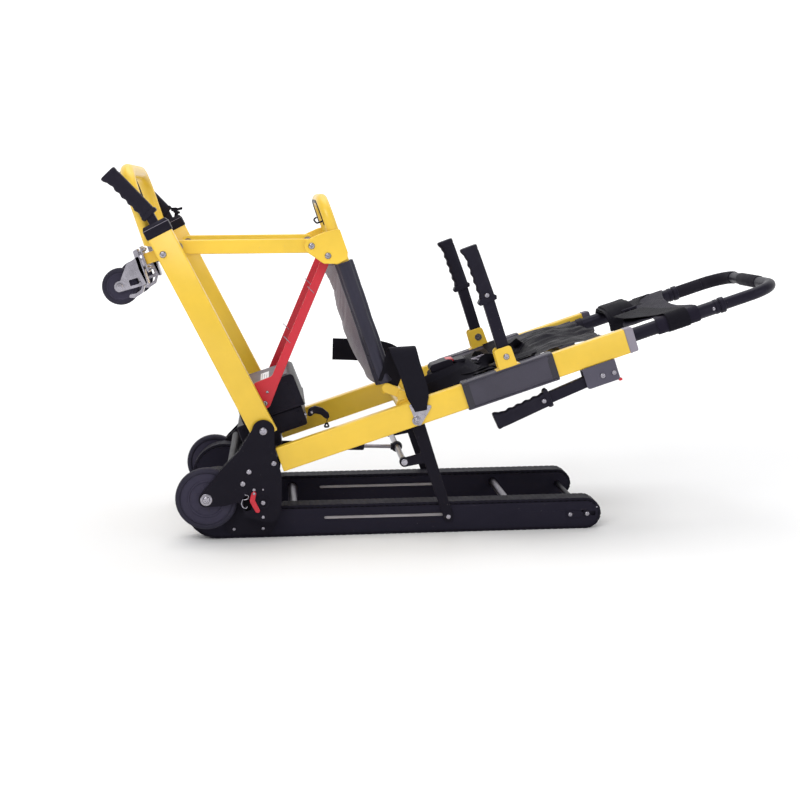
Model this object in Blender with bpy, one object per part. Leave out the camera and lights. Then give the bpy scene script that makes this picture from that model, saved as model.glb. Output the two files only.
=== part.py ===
"""Tracked stair chair: a tilting back frame on a pair of motorised crawler tracks,
with a folding seat, a folding caster frame and telescopic carrying handles.

Units are metres, +Z is up, the chair stands on its two track belts at Z = 0,
the upper handle points to +X and the left side of the chair is at -Y.
Side profiles are laid out in millimetres in the XZ plane and then extruded along Y.
"""
import math

import bmesh
import bpy
from mathutils import Matrix, Vector

for _obj in list(bpy.data.objects):
    bpy.data.objects.remove(_obj, do_unlink=True)

MM = 0.001
SHIFT_X = -30.2            # puts the centre of the overall length at X = 0

# ---------------------------------------------------------------- driving dimensions (mm)
GAP = 0.3                  # clearance between touching pieces
FRAME_HALF = 215.0         # outer half width over the rectangular tubes
TUBE_W = 25.0              # rectangular tube, width across
TUBE_H = 50.0              # rectangular tube, depth in the side view
TUBE_WALL = 2.0
FRAME_SLOPE = 17.8         # back frame, degrees above horizontal
BACK_ORIGIN = (-313.95, 163.75)   # centre of the lower end of the back tube
BACK_LEN = 732.0
BASE_ANGLE = 116.15        # caster frame, degrees above +X
BASE_PIVOT = (-345.0, 223.0)
BASE_LEN = 431.0
GROUND_ANGLE = 107.0       # direction of the floor line when the chair rolls on its wheels
SEAT_ANGLE = 108.2
SEAT_PIVOT = (-67.5, 286.2)
LINK_REAR = (-504.0, 584.6)
LINK_FRONT = (-242.8, 584.2)
BRACE_TOP = (-210.9, 564.6)
BRACE_FOOT = (-341.0, 269.0)
TRACK_PIVOT = (-348.5, 79.4)
TRACK_H = 64.0             # height of the straight part of the belt loop
BELT_T = 7.0
BELT_IN, BELT_OUT = 133.0, 180.0
PANEL_T = 4.2
SPROCKET_C, SPROCKET_R = (-437.0, 70.0), 70.0
GUIDE_C, GUIDE_R = (-338.0, 72.6), 8.0
IDLER_C = (309.0, 32.0)
ARM_TOP = (-37.7, 232.0)
ARM_PIN = (24.9, 34.0)
ARM_LUG = (-63.8, 148.3)
WHEEL_C, WHEEL_R = (-460.4, 88.2), 62.0
CASTER_C, CASTER_R = (-618.3, 509.0), 36.5
CASTER_Y = 160.0
PLATE_T = 4.5
PLATE_BOLTS = ((-325.6, 158.3), (-375.1, 142.7), (-387.7, 118.7))
SIDE_BOLT = (138.8, 361.9)
REAR_BOLT = (333.7, 320.0)
SEAT_LEG_Y = 170.0
SEG = 20


# ---------------------------------------------------------------- small geometry helpers
def rad(a):
    return math.radians(a)


def unit(a):
    return (math.cos(rad(a)), math.sin(rad(a)))


def along(origin, angle, s, t=0.0):
    """Point s along a direction and t to its left-hand normal."""
    c, q = unit(angle)
    return (origin[0] + s * c - t * q, origin[1] + s * q + t * c)


def back(s, t=0.0):
    return along(BACK_ORIGIN, FRAME_SLOPE, s, t)


def base(s, t=0.0):
    """Along the caster frame; t positive is the outer (-X) side."""
    return along(BASE_PIVOT, BASE_ANGLE, s, t)


TRAIL = 36.0


def cas(a, p):
    """Caster frame: a along the swivel axis, p along the trail, from the wheel centre."""
    d, q = unit(GROUND_ANGLE + 90), unit(GROUND_ANGLE + 180)
    return (CASTER_C[0] + a * d[0] + p * q[0], CASTER_C[1] + a * d[1] + p * q[1])


def world(p, y=0.0):
    return Vector(((p[0] + SHIFT_X) * MM, y * MM, p[1] * MM))


MATS = {}


def material(name, rgb, rough=0.5, metal=0.0):
    m = bpy.data.materials.new(name)
    m.use_nodes = True
    b = m.node_tree.nodes["Principled BSDF"]
    b.inputs["Base Color"].default_value = (rgb[0], rgb[1], rgb[2], 1.0)
    b.inputs["Roughness"].default_value = rough
    b.inputs["Metallic"].default_value = metal
    m.diffuse_color = (rgb[0], rgb[1], rgb[2], 1.0)
    MATS[name] = m


material("yellow_paint", (0.86, 0.58, 0.045), 0.38, 0.0)
material("black_paint", (0.018, 0.017, 0.022), 0.45, 0.0)
material("red_paint", (0.74, 0.022, 0.045), 0.4, 0.0)
material("zinc", (0.55, 0.55, 0.57), 0.32, 1.0)
material("rubber", (0.02, 0.019, 0.024), 0.7, 0.0)
material("grey_vinyl", (0.055, 0.05, 0.062), 0.6, 0.0)
material("webbing", (0.014, 0.013, 0.016), 0.8, 0.0)
material("grey_plastic", (0.2, 0.19, 0.22), 0.5, 0.0)
material("black_plastic", (0.02, 0.02, 0.024), 0.5, 0.0)

PIVOTS = {}


def pivot(name, p, y=0.0, parent=None):
    """Empty on a joint axis; the pieces of that moving group hang from it."""
    e = bpy.data.objects.new("pivot_" + name, None)
    bpy.context.scene.collection.objects.link(e)
    w = world(p, y)
    if parent:
        e.parent = PIVOTS[parent][0]
        e.location = w - PIVOTS[parent][1]
    else:
        e.location = w
    PIVOTS[name] = (e, w)


def finish(name, bm, mat, group, smooth=None):
    """Write the mesh, placed so that the object's origin is on its joint axis."""
    bmesh.ops.recalc_face_normals(bm, faces=bm.faces)
    e, w = PIVOTS[group]
    bmesh.ops.translate(bm, verts=bm.verts, vec=-w)
    me = bpy.data.meshes.new(name)
    bm.to_mesh(me)
    bm.free()
    ob = bpy.data.objects.new(name, me)
    bpy.context.scene.collection.objects.link(ob)
    ob.parent = e
    me.materials.append(MATS[mat])
    if smooth is not None:
        me.shade_smooth()
        me.set_sharp_from_angle(angle=rad(smooth))
    return ob


def add_prism(bm, outline, y0, y1, holes=()):
    """Extrude a closed XZ outline (with round or polygonal holes) from y0 to y1."""
    loops = [list(outline)] + [list(h) for h in holes]
    edges, verts = [], []
    for lp in loops:
        vs = [bm.verts.new(world(p, y0)) for p in lp]
        verts += vs
        for i in range(len(vs)):
            edges.append(bm.edges.new((vs[i], vs[(i + 1) % len(vs)])))
    if len(loops) == 1:
        faces = [bm.faces.new(verts)]
    else:
        r = bmesh.ops.triangle_fill(bm, use_beauty=True, use_dissolve=False, edges=edges)
        faces = [g for g in r["geom"] if isinstance(g, bmesh.types.BMFace)]
    ext = bmesh.ops.extrude_face_region(bm, geom=faces, use_keep_orig=True)
    nv = [g for g in ext["geom"] if isinstance(g, bmesh.types.BMVert)]
    bmesh.ops.translate(bm, verts=nv, vec=Vector((0, (y1 - y0) * MM, 0)))


def prism(name, outline, y0, y1, mat, group, holes=(), smooth=None):
    bm = bmesh.new()
    add_prism(bm, outline, y0, y1, holes)
    return finish(name, bm, mat, group, smooth)


def circle(c, r, n=SEG, a0=0.0):
    return [(c[0] + r * math.cos(2 * math.pi * i / n + a0), c[1] + r * math.sin(2 * math.pi * i / n + a0))
            for i in range(n)]


def arc(c, r, a0, a1, n):
    return [(c[0] + r * math.cos(rad(a0 + (a1 - a0) * i / n)), c[1] + r * math.sin(rad(a0 + (a1 - a0) * i / n)))
            for i in range(n + 1)]


def rounded(points, radii, n=3):
    """Polygon with its corners rounded."""
    if not isinstance(radii, (list, tuple)):
        radii = [radii] * len(points)
    out = []
    m = len(points)
    for i, p in enumerate(points):
        a, b, r = Vector(points[i - 1]), Vector(points[(i + 1) % m]), radii[i]
        p = Vector(p)
        u, v = (a - p).normalized(), (b - p).normalized()
        ang = u.angle(v)
        if r <= 0 or ang > math.pi - 0.02:
            out.append((p.x, p.y))
            continue
        d = min(r / math.tan(ang / 2), 0.48 * (a - p).length, 0.48 * (b - p).length)
        r = d * math.tan(ang / 2)
        c = p + (u + v).normalized() * (r / math.sin(ang / 2))
        s, e = p + u * d - c, p + v * d - c
        a0 = math.atan2(s.y, s.x)
        da = math.atan2(s.x * e.y - s.y * e.x, s.dot(e))
        for k in range(n + 1):
            t = a0 + da * k / n
            out.append((c.x + r * math.cos(t), c.y + r * math.sin(t)))
    return out


def slot_outline(a, b, ra, rb=None, n=8):
    """Hull of two circles, used for links, arms and straps."""
    rb = ra if rb is None else rb
    d = Vector(b) - Vector(a)
    th = math.degrees(math.atan2(d.y, d.x))
    off = math.degrees(math.acos((ra - rb) / d.length))
    return arc(a, ra, th + off, th + 360 - off, n) + arc(b, rb, th - off, th + off, n)


def add_sweep(bm, pts, radius, n=12, hole=0.0, squash=(1.0, 1.0)):
    """Round bar or tube swept along 3-D points given as (x, y, z) in mm."""
    P = [Vector(((p[0] + SHIFT_X) * MM, p[1] * MM, p[2] * MM)) for p in pts]
    T = []
    for i in range(len(P)):
        a = P[max(i - 1, 0)]
        b = P[min(i + 1, len(P) - 1)]
        if 0 < i < len(P) - 1:
            T.append(((P[i] - a).normalized() + (b - P[i]).normalized()).normalized())
        else:
            T.append((b - a).normalized())
    ref = Vector((0, 1, 0)) if abs(T[0].y) < 0.9 else Vector((0, 0, 1))
    N = (ref - T[0] * ref.dot(T[0])).normalized()
    frames = []
    for i in range(len(P)):
        if i:
            q = T[i - 1].rotation_difference(T[i])
            N = q @ N
            N = (N - T[i] * N.dot(T[i])).normalized()
        frames.append((N.copy(), T[i].cross(N)))
    radii = radius if isinstance(radius, (list, tuple)) else [radius] * len(P)
    layers = [radii] + ([[hole] * len(P)] if hole else [])
    rings = []
    for rr in layers:
        rg = []
        for i, p in enumerate(P):
            u, v = frames[i]
            rg.append([bm.verts.new(p + (u * math.cos(2 * math.pi * k / n) * squash[0]
                                         + v * math.sin(2 * math.pi * k / n) * squash[1]) * rr[i] * MM)
                       for k in range(n)])
        rings.append(rg)
        for i in range(len(P) - 1):
            for k in range(n):
                k2 = (k + 1) % n
                bm.faces.new((rg[i][k], rg[i][k2], rg[i + 1][k2], rg[i + 1][k]))
    if hole:
        for i in (0, len(P) - 1):
            for k in range(n):
                k2 = (k + 1) % n
                bm.faces.new((rings[0][i][k], rings[0][i][k2], rings[1][i][k2], rings[1][i][k]))
    else:
        bm.faces.new(rings[0][0])
        bm.faces.new(rings[0][-1])


def fillet_path(pts, r, n=5):
    """3-D polyline with its corners bent to radius r."""
    out = [tuple(pts[0])]
    for i in range(1, len(pts) - 1):
        a, p, b = Vector(pts[i - 1]), Vector(pts[i]), Vector(pts[i + 1])
        u, v = (a - p).normalized(), (b - p).normalized()
        ang = u.angle(v)
        d = r / math.tan(ang / 2)
        c = p + (u + v).normalized() * (r / math.sin(ang / 2))
        s, e = p + u * d - c, p + v * d - c
        tot = s.angle(e)
        axis = s.cross(e).normalized()
        for k in range(n + 1):
            out.append(tuple(c + Matrix.Rotation(tot * k / n, 3, axis) @ s))
    out.append(tuple(pts[-1]))
    return out


def add_lathe(bm, c, profile, n=SEG):
    """Turn a closed (radius, y) profile about the Y line through c."""
    rings = []
    for r, y in profile:
        if r < 1e-6:
            rings.append([bm.verts.new(world(c, y))])
        else:
            rings.append([bm.verts.new(world((c[0] + r * math.cos(2 * math.pi * k / n),
                                              c[1] + r * math.sin(2 * math.pi * k / n)), y)) for k in range(n)])
    m = len(rings)
    for i in range(m):
        a, b = rings[i], rings[(i + 1) % m]
        if len(a) == 1 and len(b) == 1:
            continue
        for k in range(n):
            k2 = (k + 1) % n
            if len(a) == 1:
                bm.faces.new((a[0], b[k2], b[k]))
            elif len(b) == 1:
                bm.faces.new((a[k], a[k2], b[0]))
            else:
                bm.faces.new((a[k], a[k2], b[k2], b[k]))


def mirror_y(outline_pair, side):
    """(y0, y1) spans given on the +Y side, returned for side +1 or -1."""
    y0, y1 = outline_pair
    return (y0, y1) if side > 0 else (-y1, -y0)


def boolean_join(target, others):
    """Weld other objects into target, so that the piece is one body."""
    for o in others:
        md = target.modifiers.new("weld", "BOOLEAN")
        md.operation = "UNION"
        md.solver = "EXACT"
        md.object = o
        o.hide_render = True
        o.display_type = "WIRE"


SIDES = (("l", -1), ("r", 1))
TUBE_Y = (FRAME_HALF - TUBE_W, FRAME_HALF)          # 190..215

# ---------------------------------------------------------------- joint axes
pivot("frame", BACK_ORIGIN)
pivot("wheel_l", WHEEL_C)
pivot("wheel_r", WHEEL_C)
pivot("upper_handle", back(740, 0))
pivot("base", BASE_PIVOT)
pivot("seat", SEAT_PIVOT)
pivot("link_l", LINK_REAR, parent="base")
pivot("link_r", LINK_REAR, parent="base")
pivot("brace_l", BRACE_TOP, parent="seat")
pivot("brace_r", BRACE_TOP, parent="seat")
pivot("track", TRACK_PIVOT)
pivot("sprockets", SPROCKET_C, parent="track")
pivot("idlers", IDLER_C, parent="track")
pivot("arm", ARM_TOP)
pivot("gas_cylinder", PLATE_BOLTS[0])
pivot("gas_rod", PLATE_BOLTS[0], parent="gas_cylinder")
for s_, g_ in SIDES:
    pivot("foot_" + s_, base(BASE_LEN + 20), parent="base")
    pivot("side_" + s_, SIDE_BOLT)
    pivot("rear_" + s_, REAR_BOLT)
    pivot("fork_" + s_, cas(-56.0, -TRAIL), g_ * CASTER_Y, parent="base")
    pivot("cwheel_" + s_, CASTER_C, g_ * CASTER_Y, parent="fork_" + s_)
pivot("release", (-366.0, 100.0))
pivot("pull", (-262.0, 239.0))

# ---------------------------------------------------------------- back frame
def rect_tube(name, fn, s0, s1, side, mat, group):
    """Hollow 50 x 25 tube, open at both ends, running along the frame function fn."""
    y0, y1 = mirror_y(TUBE_Y, side)
    bm = bmesh.new()
    def ring(s, dh, dy):
        pts = [(TUBE_H / 2 - dh, y0 + dy), (-TUBE_H / 2 + dh, y0 + dy),
               (-TUBE_H / 2 + dh, y1 - dy), (TUBE_H / 2 - dh, y1 - dy)]
        return [bm.verts.new(world(fn(s, t), y)) for t, y in pts]
    oa, ob_ = ring(s0, 0, 0), ring(s1, 0, 0)
    ia, ib = ring(s0, TUBE_WALL, TUBE_WALL), ring(s1, TUBE_WALL, TUBE_WALL)
    for k in range(4):
        k2 = (k + 1) % 4
        bm.faces.new((oa[k], oa[k2], ob_[k2], ob_[k]))
        bm.faces.new((ia[k], ia[k2], ib[k2], ib[k]))
        bm.faces.new((oa[k], oa[k2], ia[k2], ia[k]))
        bm.faces.new((ob_[k], ob_[k2], ib[k2], ib[k]))
    return finish(name, bm, mat, group)


for tag, sg in SIDES:
    rect_tube("back_tube_" + tag, back, 0, BACK_LEN, sg, "yellow_paint", "frame")

# plastic end caps of the two back tubes: a plug inside the tube and a block outside
for tag, sg in SIDES:
    bm = bmesh.new()
    y0, y1 = mirror_y(TUBE_Y, sg)
    e = TUBE_WALL + GAP
    rings = []
    for s, dt, dy in ((BACK_LEN - 22, e, e), (BACK_LEN + GAP, e, e), (BACK_LEN + GAP, 0, 0),
                      (BACK_LEN + 16, 0, 0), (BACK_LEN + 18, 2, 2)):
        rings.append([bm.verts.new(world(back(s, t), y)) for t, y in
                      ((TUBE_H / 2 - dt, y0 + dy), (-TUBE_H / 2 + dt, y0 + dy),
                       (-TUBE_H / 2 + dt, y1 - dy), (TUBE_H / 2 - dt, y1 - dy))])
    for a, b in zip(rings, rings[1:]):
        for k in range(4):
            bm.faces.new((a[k], a[(k + 1) % 4], b[(k + 1) % 4], b[k]))
    bm.faces.new(rings[0])
    bm.faces.new(rings[-1])
    finish("tube_end_cap_" + tag, bm, "grey_plastic", "frame")

# side plates: outer (with the wheel arm) and inner (down to the track)
OUT_PLATE = (FRAME_HALF + GAP, FRAME_HALF + GAP + PLATE_T)
IN_PLATE = (TUBE_Y[0] - GAP - 4.2, TUBE_Y[0] - GAP)
outer = (arc(BASE_PIVOT, 22.5, 12, 172, 8)
         + [(-394.4, 183.9), (-429.1, 149.3)]
         + arc(WHEEL_C, 15.0, 127, 262, 6)
         + [(-421.8, 75.5), (-398.0, 82.0), (-391.0, 74.0), (-386.0, 52.0), (-340.0, 40.0), (-317.0, 46.0),
            (-311.5, 82.0), (-310.4, 133.0), (-313.8, 147.6), (-323.7, 191.1)])
inner = (arc(BASE_PIVOT, 21.0, 10, 170, 8)
         + [(-398.0, 178.0), (-434.0, 143.0)]
         + arc(WHEEL_C, 13.0, 130, 250, 5)
         + [(-430.0, 40.0), (-420.6, 12.0), (-334.6, 9.6), (-322.0, 30.0), (-314.5, 82.0), (-313.4, 133.0), (-326.7, 191.1)])


def bolt_head(name, c, y_face, sg, r=6.0, h=3.6, n=12, shank=0.0):
    """Domed socket head on a face at |y| = y_face, sunk 1 mm into the plate it is fixed to; shank is its own length."""
    bm = bmesh.new()
    prof = [(0.0, -1.0 - shank), (r if not shank else r * 0.55, -1.0 - shank)]
    if shank:
        prof += [(r * 0.55, -1.0), (r, -1.0)]
    prof += [(r, h * 0.55), (r * 0.72, h), (0.0, h)]
    add_lathe(bm, c, [(a, sg * (y_face + b)) for a, b in prof], n)
    return finish(name, bm, "zinc", "frame", 40)


inner_plates = []
for tag, sg in SIDES:
    y0, y1 = mirror_y(OUT_PLATE, sg)
    plate = prism("outer_plate_" + tag, outer, y0, y1, "black_paint", "frame")
    heads = [bolt_head("weld_bolt_%s%d" % (tag, i), c, OUT_PLATE[1], sg, r) for i, (c, r) in
             enumerate(((BASE_PIVOT, 8.0), (PLATE_BOLTS[0], 6.0), (PLATE_BOLTS[1], 6.0), (PLATE_BOLTS[2], 6.0)))]
    # wheel axle: head outside, shank through the wheel
    heads.append(bolt_head("weld_axle_" + tag, WHEEL_C, OUT_PLATE[1], sg, 10.5, 4.5, 14,
                           OUT_PLATE[1] - IN_PLATE[1] - 1.4))
    boolean_join(plate, heads)
    y0, y1 = mirror_y(IN_PLATE, sg)
    inner_plates.append(prism("inner_chassis" if sg < 0 else "weld_inner_plate", inner, y0, y1, "black_paint", "frame",
                              holes=(circle(TRACK_PIVOT, 9.3, 16),)))

# welded cross tube that carries the seat hinge lugs
yi = TUBE_Y[0] - GAP
bm = bmesh.new()
HC = back(268.5, 19.0)
add_sweep(bm, [(HC[0], -yi, HC[1]), (HC[0], yi, HC[1])], 13.5, 16)
crossbar = finish("hinge_crossbar", bm, "yellow_paint", "frame", 40)
lug = slot_outline(back(268.5, 19.0), SEAT_PIVOT, 11.0, 8.5, 6)
lugs = []
for sg in (-1, 1):
    y0, y1 = mirror_y((184.6, 189.0), sg)
    lugs.append(prism("weld_lug%d" % sg, lug, y0, y1, "yellow_paint", "frame"))
boolean_join(crossbar, lugs)

# two cross tubes weld the inner plates into one chassis
yp = IN_PLATE[0] + 1.0
REAR_TUBE = (-409.0, 150.0)
bm = bmesh.new()
bm2 = bmesh.new()
add_sweep(bm, [(PLATE_BOLTS[0][0], -yp, PLATE_BOLTS[0][1]), (PLATE_BOLTS[0][0], yp, PLATE_BOLTS[0][1])], 8.0, 14)
add_sweep(bm2, [(REAR_TUBE[0], -yp, REAR_TUBE[1]), (REAR_TUBE[0], yp, REAR_TUBE[1])], 10.0, 16)
boolean_join(inner_plates[0], [finish("weld_front_cross", bm, "black_paint", "frame", 40),
                               finish("weld_rear_cross", bm2, "black_paint", "frame", 40), inner_plates[1]])

# battery over the drive unit, both square to the back frame
bat = rounded([back(-52, 76), back(80, 76), back(77, 145), back(-52, 145)], [3, 3, 9, 9], 2)
prism("battery_pack", bat, -118, 118, "black_plastic", "frame")
drv = rounded([back(-66, 12), back(10, 12), back(14, 34), back(73, 34), back(73, 75.6), back(-66, 75.6)],
              [8, 4, 4, 5, 3, 3], 2)
prism("drive_housing", drv, -112, 112, "black_plastic", "frame")


def add_stroke(bm, path, thick, fn, s0, s1):
    """Bent sheet: an open (y, t) path thickened and run from s0 to s1 along fn."""
    P = [Vector(p) for p in path]
    L, R = [], []
    for i, p in enumerate(P):
        a = (p - P[i - 1]).normalized() if i else (P[1] - p).normalized()
        b = (P[i + 1] - p).normalized() if i < len(P) - 1 else a
        m = (a + b).normalized()
        n = Vector((-m.y, m.x))
        k = 1.0 / max(0.5, m.dot(a))
        L.append(p + n * thick / 2 * k)
        R.append(p - n * thick / 2 * k)
    rings = []
    for s in (s0, s1):
        rings.append([[bm.verts.new(world(fn(s, q.y), q.x)) for q in row] for row in (L, R)])
    n = len(P)
    for i in range(n - 1):
        for row in (0, 1):
            a, b = rings[0][row], rings[1][row]
            bm.faces.new((a[i], a[i + 1], b[i + 1], b[i]))
        for e in (0, 1):
            a, b = rings[e]
            bm.faces.new((a[i], a[i + 1], b[i + 1], b[i]))
    for i in (0, n - 1):
        bm.faces.new((rings[0][0][i], rings[0][1][i], rings[1][1][i], rings[1][0][i]))


def stroke(name, path, thick, fn, s0, s1, mat, group, smooth=None):
    bm = bmesh.new()
    add_stroke(bm, path, thick, fn, s0, s1)
    return finish(name, bm, mat, group, smooth)


# backrest sling: padded sleeves round both tubes with the panel hanging between them
SLEEVE = (390.0, 580.0)
yo, yn, th = FRAME_HALF + 1.7, TUBE_Y[0] - 1.7, TUBE_H / 2 + 1.7
half = [(yn, -th), (yo, -th), (yo, th), (yn - 2, th)]
sag = [(y, 21.0 - 16.0 * (1 - (abs(y) / 172.0) ** 2)) for y in (-172, -115, -58, 0, 58, 115, 172)]
path = [(-y, t) for y, t in half] + sag + half[::-1]
stroke("backrest_sling", path, 2.4, back, SLEEVE[0], SLEEVE[1], "grey_vinyl", "frame")

# telescopic outer sleeves for the upper handle, alongside the inner faces of the back tubes
HANDLE_T = 2.0
SLEEVE_R, LEG_R = 14.2, 12.0
for tag, sg in SIDES:
    bm = bmesh.new()
    y = sg * (TUBE_Y[0] - GAP - SLEEVE_R)
    pts = []
    for s in (640.0, 951.0):
        q = back(s, HANDLE_T)
        pts.append((q[0], y, q[1]))
    add_sweep(bm, pts, SLEEVE_R, 16, hole=LEG_R + 0.6)
    finish("handle_sleeve_" + tag, bm, "black_paint", "frame", 40)
HANDLE_Y = TUBE_Y[0] - GAP - SLEEVE_R

# upper cross tube between the back tubes
bm = bmesh.new()
q = back(618.0, -6.0)
add_sweep(bm, [(q[0], -yi, q[1]), (q[0], yi, q[1])], 11.0, 14)
finish("upper_crossbar", bm, "yellow_paint", "frame", 40)

# head panel: a fabric band wrapped round both sleeves
rw = SLEEVE_R + 1.7
wrap = [(HANDLE_Y + rw * math.cos(rad(a)), HANDLE_T + rw * math.sin(rad(a))) for a in range(-150, 100, 30)]
sheet = [(y, HANDLE_T + rw - 5.0 * (1 - (abs(y) / 150.0) ** 2)) for y in (-150, -75, 0, 75, 150)]
path = [(-y, t) for y, t in wrap] + sheet + wrap[::-1]
stroke("head_panel", path, 2.2, back, 822.0, 902.0, "grey_vinyl", "frame")

# ---------------------------------------------------------------- upper handle
pts = []
for s, y in ((716.0, -HANDLE_Y), (1069.0, -HANDLE_Y), (1069.0, HANDLE_Y), (716.0, HANDLE_Y)):
    q = back(s, HANDLE_T)
    pts.append((q[0], y, q[1]))
bm = bmesh.new()
add_sweep(bm, fillet_path(pts, 62, 6), LEG_R, 16)
finish("upper_handle", bm, "black_paint", "upper_handle", 40)


# ---------------------------------------------------------------- side and rear carrying handles
CH_Y = (TUBE_Y[0], TUBE_Y[1])
ARM_Y = (TUBE_Y[0] + 4.2, TUBE_Y[1] - 4.2)
GRIP_Y = (TUBE_Y[0] - 0.2, TUBE_Y[1] + 0.2)


def grip_outline(start, angle, length, side, w=15.5, flare=20.0, n=5):
    """Hand grip in the side view: finger waves on one side, plain on the other, flared end."""
    up = [(0.0, w - 2.5), (4.0, w)]
    waves = []
    for i in range(n * 4 + 1):
        s = 8.0 + (length - 26.0) * i / (n * 4)
        waves.append((s, w - 1.9 * (0.5 - 0.5 * math.cos(2 * math.pi * i / 4))))
    tip = [(length - 10.0, w), (length - 3.0, flare), (length, flare - 2.5)]
    back_side = [(length, -w + 1.0), (length - 4.0, -w - 0.5), (length - 16.0, -w + 1.5), (4.0, -w), (0.0, -w + 2.5)]
    pts = up + waves + tip + back_side
    return [along(start, angle, s, t * side) for s, t in pts]


for tag, sg in SIDES:
    bm = bmesh.new()
    a, b = mirror_y(CH_Y, sg)
    lo, hi = TUBE_H / 2 + 3.4, 70.0
    add_stroke(bm, [(a + 1.5, hi), (a + 1.5, lo + 1.5), (b - 1.5, lo + 1.5), (b - 1.5, hi)], 3.0, back, 470.0, 508.0)
    finish("side_handle_bracket_" + tag, bm, "yellow_paint", "frame")
SIDE_ANGLE = 107.3
for tag, sg in SIDES:
    a, b = mirror_y(ARM_Y, sg)
    arm = [along(SIDE_BOLT, SIDE_ANGLE, u, v) for u, v in ((-12, 12), (-12, -12), (117.5, -12), (117.5, 12))]
    prism("side_handle_arm_" + tag, rounded(arm, [11, 11, 0, 0], 4), a, b, "black_paint", "side_" + tag)
    a, b = mirror_y(GRIP_Y, sg)
    prism("side_handle_grip_" + tag, grip_outline(along(SIDE_BOLT, SIDE_ANGLE, 118.0), 109.5, 112.0, 1),
          a, b, "rubber", "side_" + tag)

REAR_ANGLE = 202.5
rear_end = along(REAR_BOLT, REAR_ANGLE, 117.0)
for tag, sg in SIDES:
    bm = bmesh.new()
    a, b = mirror_y(CH_Y, sg)
    path = [(a + 1.5, -67.0), (a + 1.5, -TUBE_H / 2 - GAP - 1.5), (b - 1.5, -TUBE_H / 2 - GAP - 1.5), (b - 1.5, -67.0)]
    add_stroke(bm, path, 3.0, back, 628.0, 697.0)
    finish("rear_handle_bracket_" + tag, bm, "black_paint", "frame")
for tag, sg in SIDES:
    # steel arm and moulded grip, welded into one swinging handle
    bm = bmesh.new()
    a, b = mirror_y(ARM_Y, sg)
    arm = rounded([along(REAR_BOLT, REAR_ANGLE, -11, 11), along(REAR_BOLT, REAR_ANGLE, -11, -11),
                   along(REAR_BOLT, REAR_ANGLE, 125, -11), along(REAR_BOLT, REAR_ANGLE, 125, 11)], [10, 10, 0, 0], 4)
    add_prism(bm, arm, a, b)
    grip_arm = finish("rear_handle_" + tag, bm, "rubber", "rear_" + tag)
    a, b = mirror_y(GRIP_Y, sg)
    g = prism("weld_rear_grip_" + tag, grip_outline(rear_end, 204.0, 116.0, -1), a, b, "rubber", "rear_" + tag)
    boolean_join(grip_arm, [g])

# ---------------------------------------------------------------- belt anchors and lap belts
anchor = rounded([(-57.0, 270.5), (-40.3, 228.0), (-33.0, 227.0), (-9.5, 267.5), (-30.0, 268.5)], [3, 9, 9, 3, 0], 3)
lap = rounded([(-59.7, 286.0), (-44.0, 262.5), (-21.0, 262.5), (-12.5, 289.0), (-40.0, 381.0), (-62.0, 389.0),
               (-97.0, 378.0), (-72.0, 336.0)], [3, 3, 3, 5, 10, 8, 4, 6], 2)
laid_back = rounded([(-59.7, 286.0), (-44.0, 262.5), (-21.0, 262.5), (-12.5, 289.0), (-30.0, 332.0), (-72.0, 352.0),
                     (-113.6, 359.0), (-190.7, 362.4), (-191.5, 312.3), (-150.7, 306.9), (-92.0, 303.0)],
                    [3, 3, 3, 5, 12, 14, 8, 4, 4, 6, 14], 2)
for tag, sg in SIDES:
    y0, y1 = mirror_y((FRAME_HALF + 2.6, FRAME_HALF + 6.2), sg)
    web = prism("lap_belt_" + tag, laid_back if sg > 0 else lap, y0, y1, "webbing", "frame")
    y0, y1 = mirror_y((FRAME_HALF + GAP, FRAME_HALF + 3.1), sg)
    tab = prism("weld_anchor_" + tag, anchor, y0, y1, "zinc", "frame")
    boolean_join(web, [tab, bolt_head("weld_anchor_bolt_" + tag, (-40.3, 237.5), FRAME_HALF + 3.1, sg, 6.0)])

# torso belt lying over the backrest, with its buckle
sag2 = [(y, 24.8 - 16.0 * (1 - (abs(y) / 172.0) ** 2)) for y in (-172, -115, -58, 0, 58, 115, 172)]
belt = stroke("torso_belt", sag2, 3.0, back, 500.0, 550.0, "webbing", "frame")
bk = rounded([back(490, 8.0), back(560, 8.0), back(560, 24), back(490, 24)], [3, 3, 5, 5], 2)
boolean_join(belt, [prism("weld_buckle", bk, -22, 22, "black_plastic", "frame")])

# ---------------------------------------------------------------- main wheels
for tag, sg in SIDES:
    y0, y1 = 191.6, 213.6
    yc, hw = (y0 + y1) / 2, (y1 - y0) / 2
    prof = [(6.4, -hw), (34.0, -hw), (36.0, -hw + 2.0), (54.0, -hw + 2.0), (60.0, -hw + 4.0), (62.0, -hw + 8.0),
            (62.0, hw - 8.0), (60.0, hw - 4.0), (54.0, hw - 2.0), (36.0, hw - 2.0), (34.0, hw), (6.4, hw)]
    bm = bmesh.new()
    add_lathe(bm, WHEEL_C, [(r, sg * yc + y) for r, y in prof], 28)
    finish("main_wheel_" + tag, bm, "rubber", "wheel_" + tag, 35)

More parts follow.
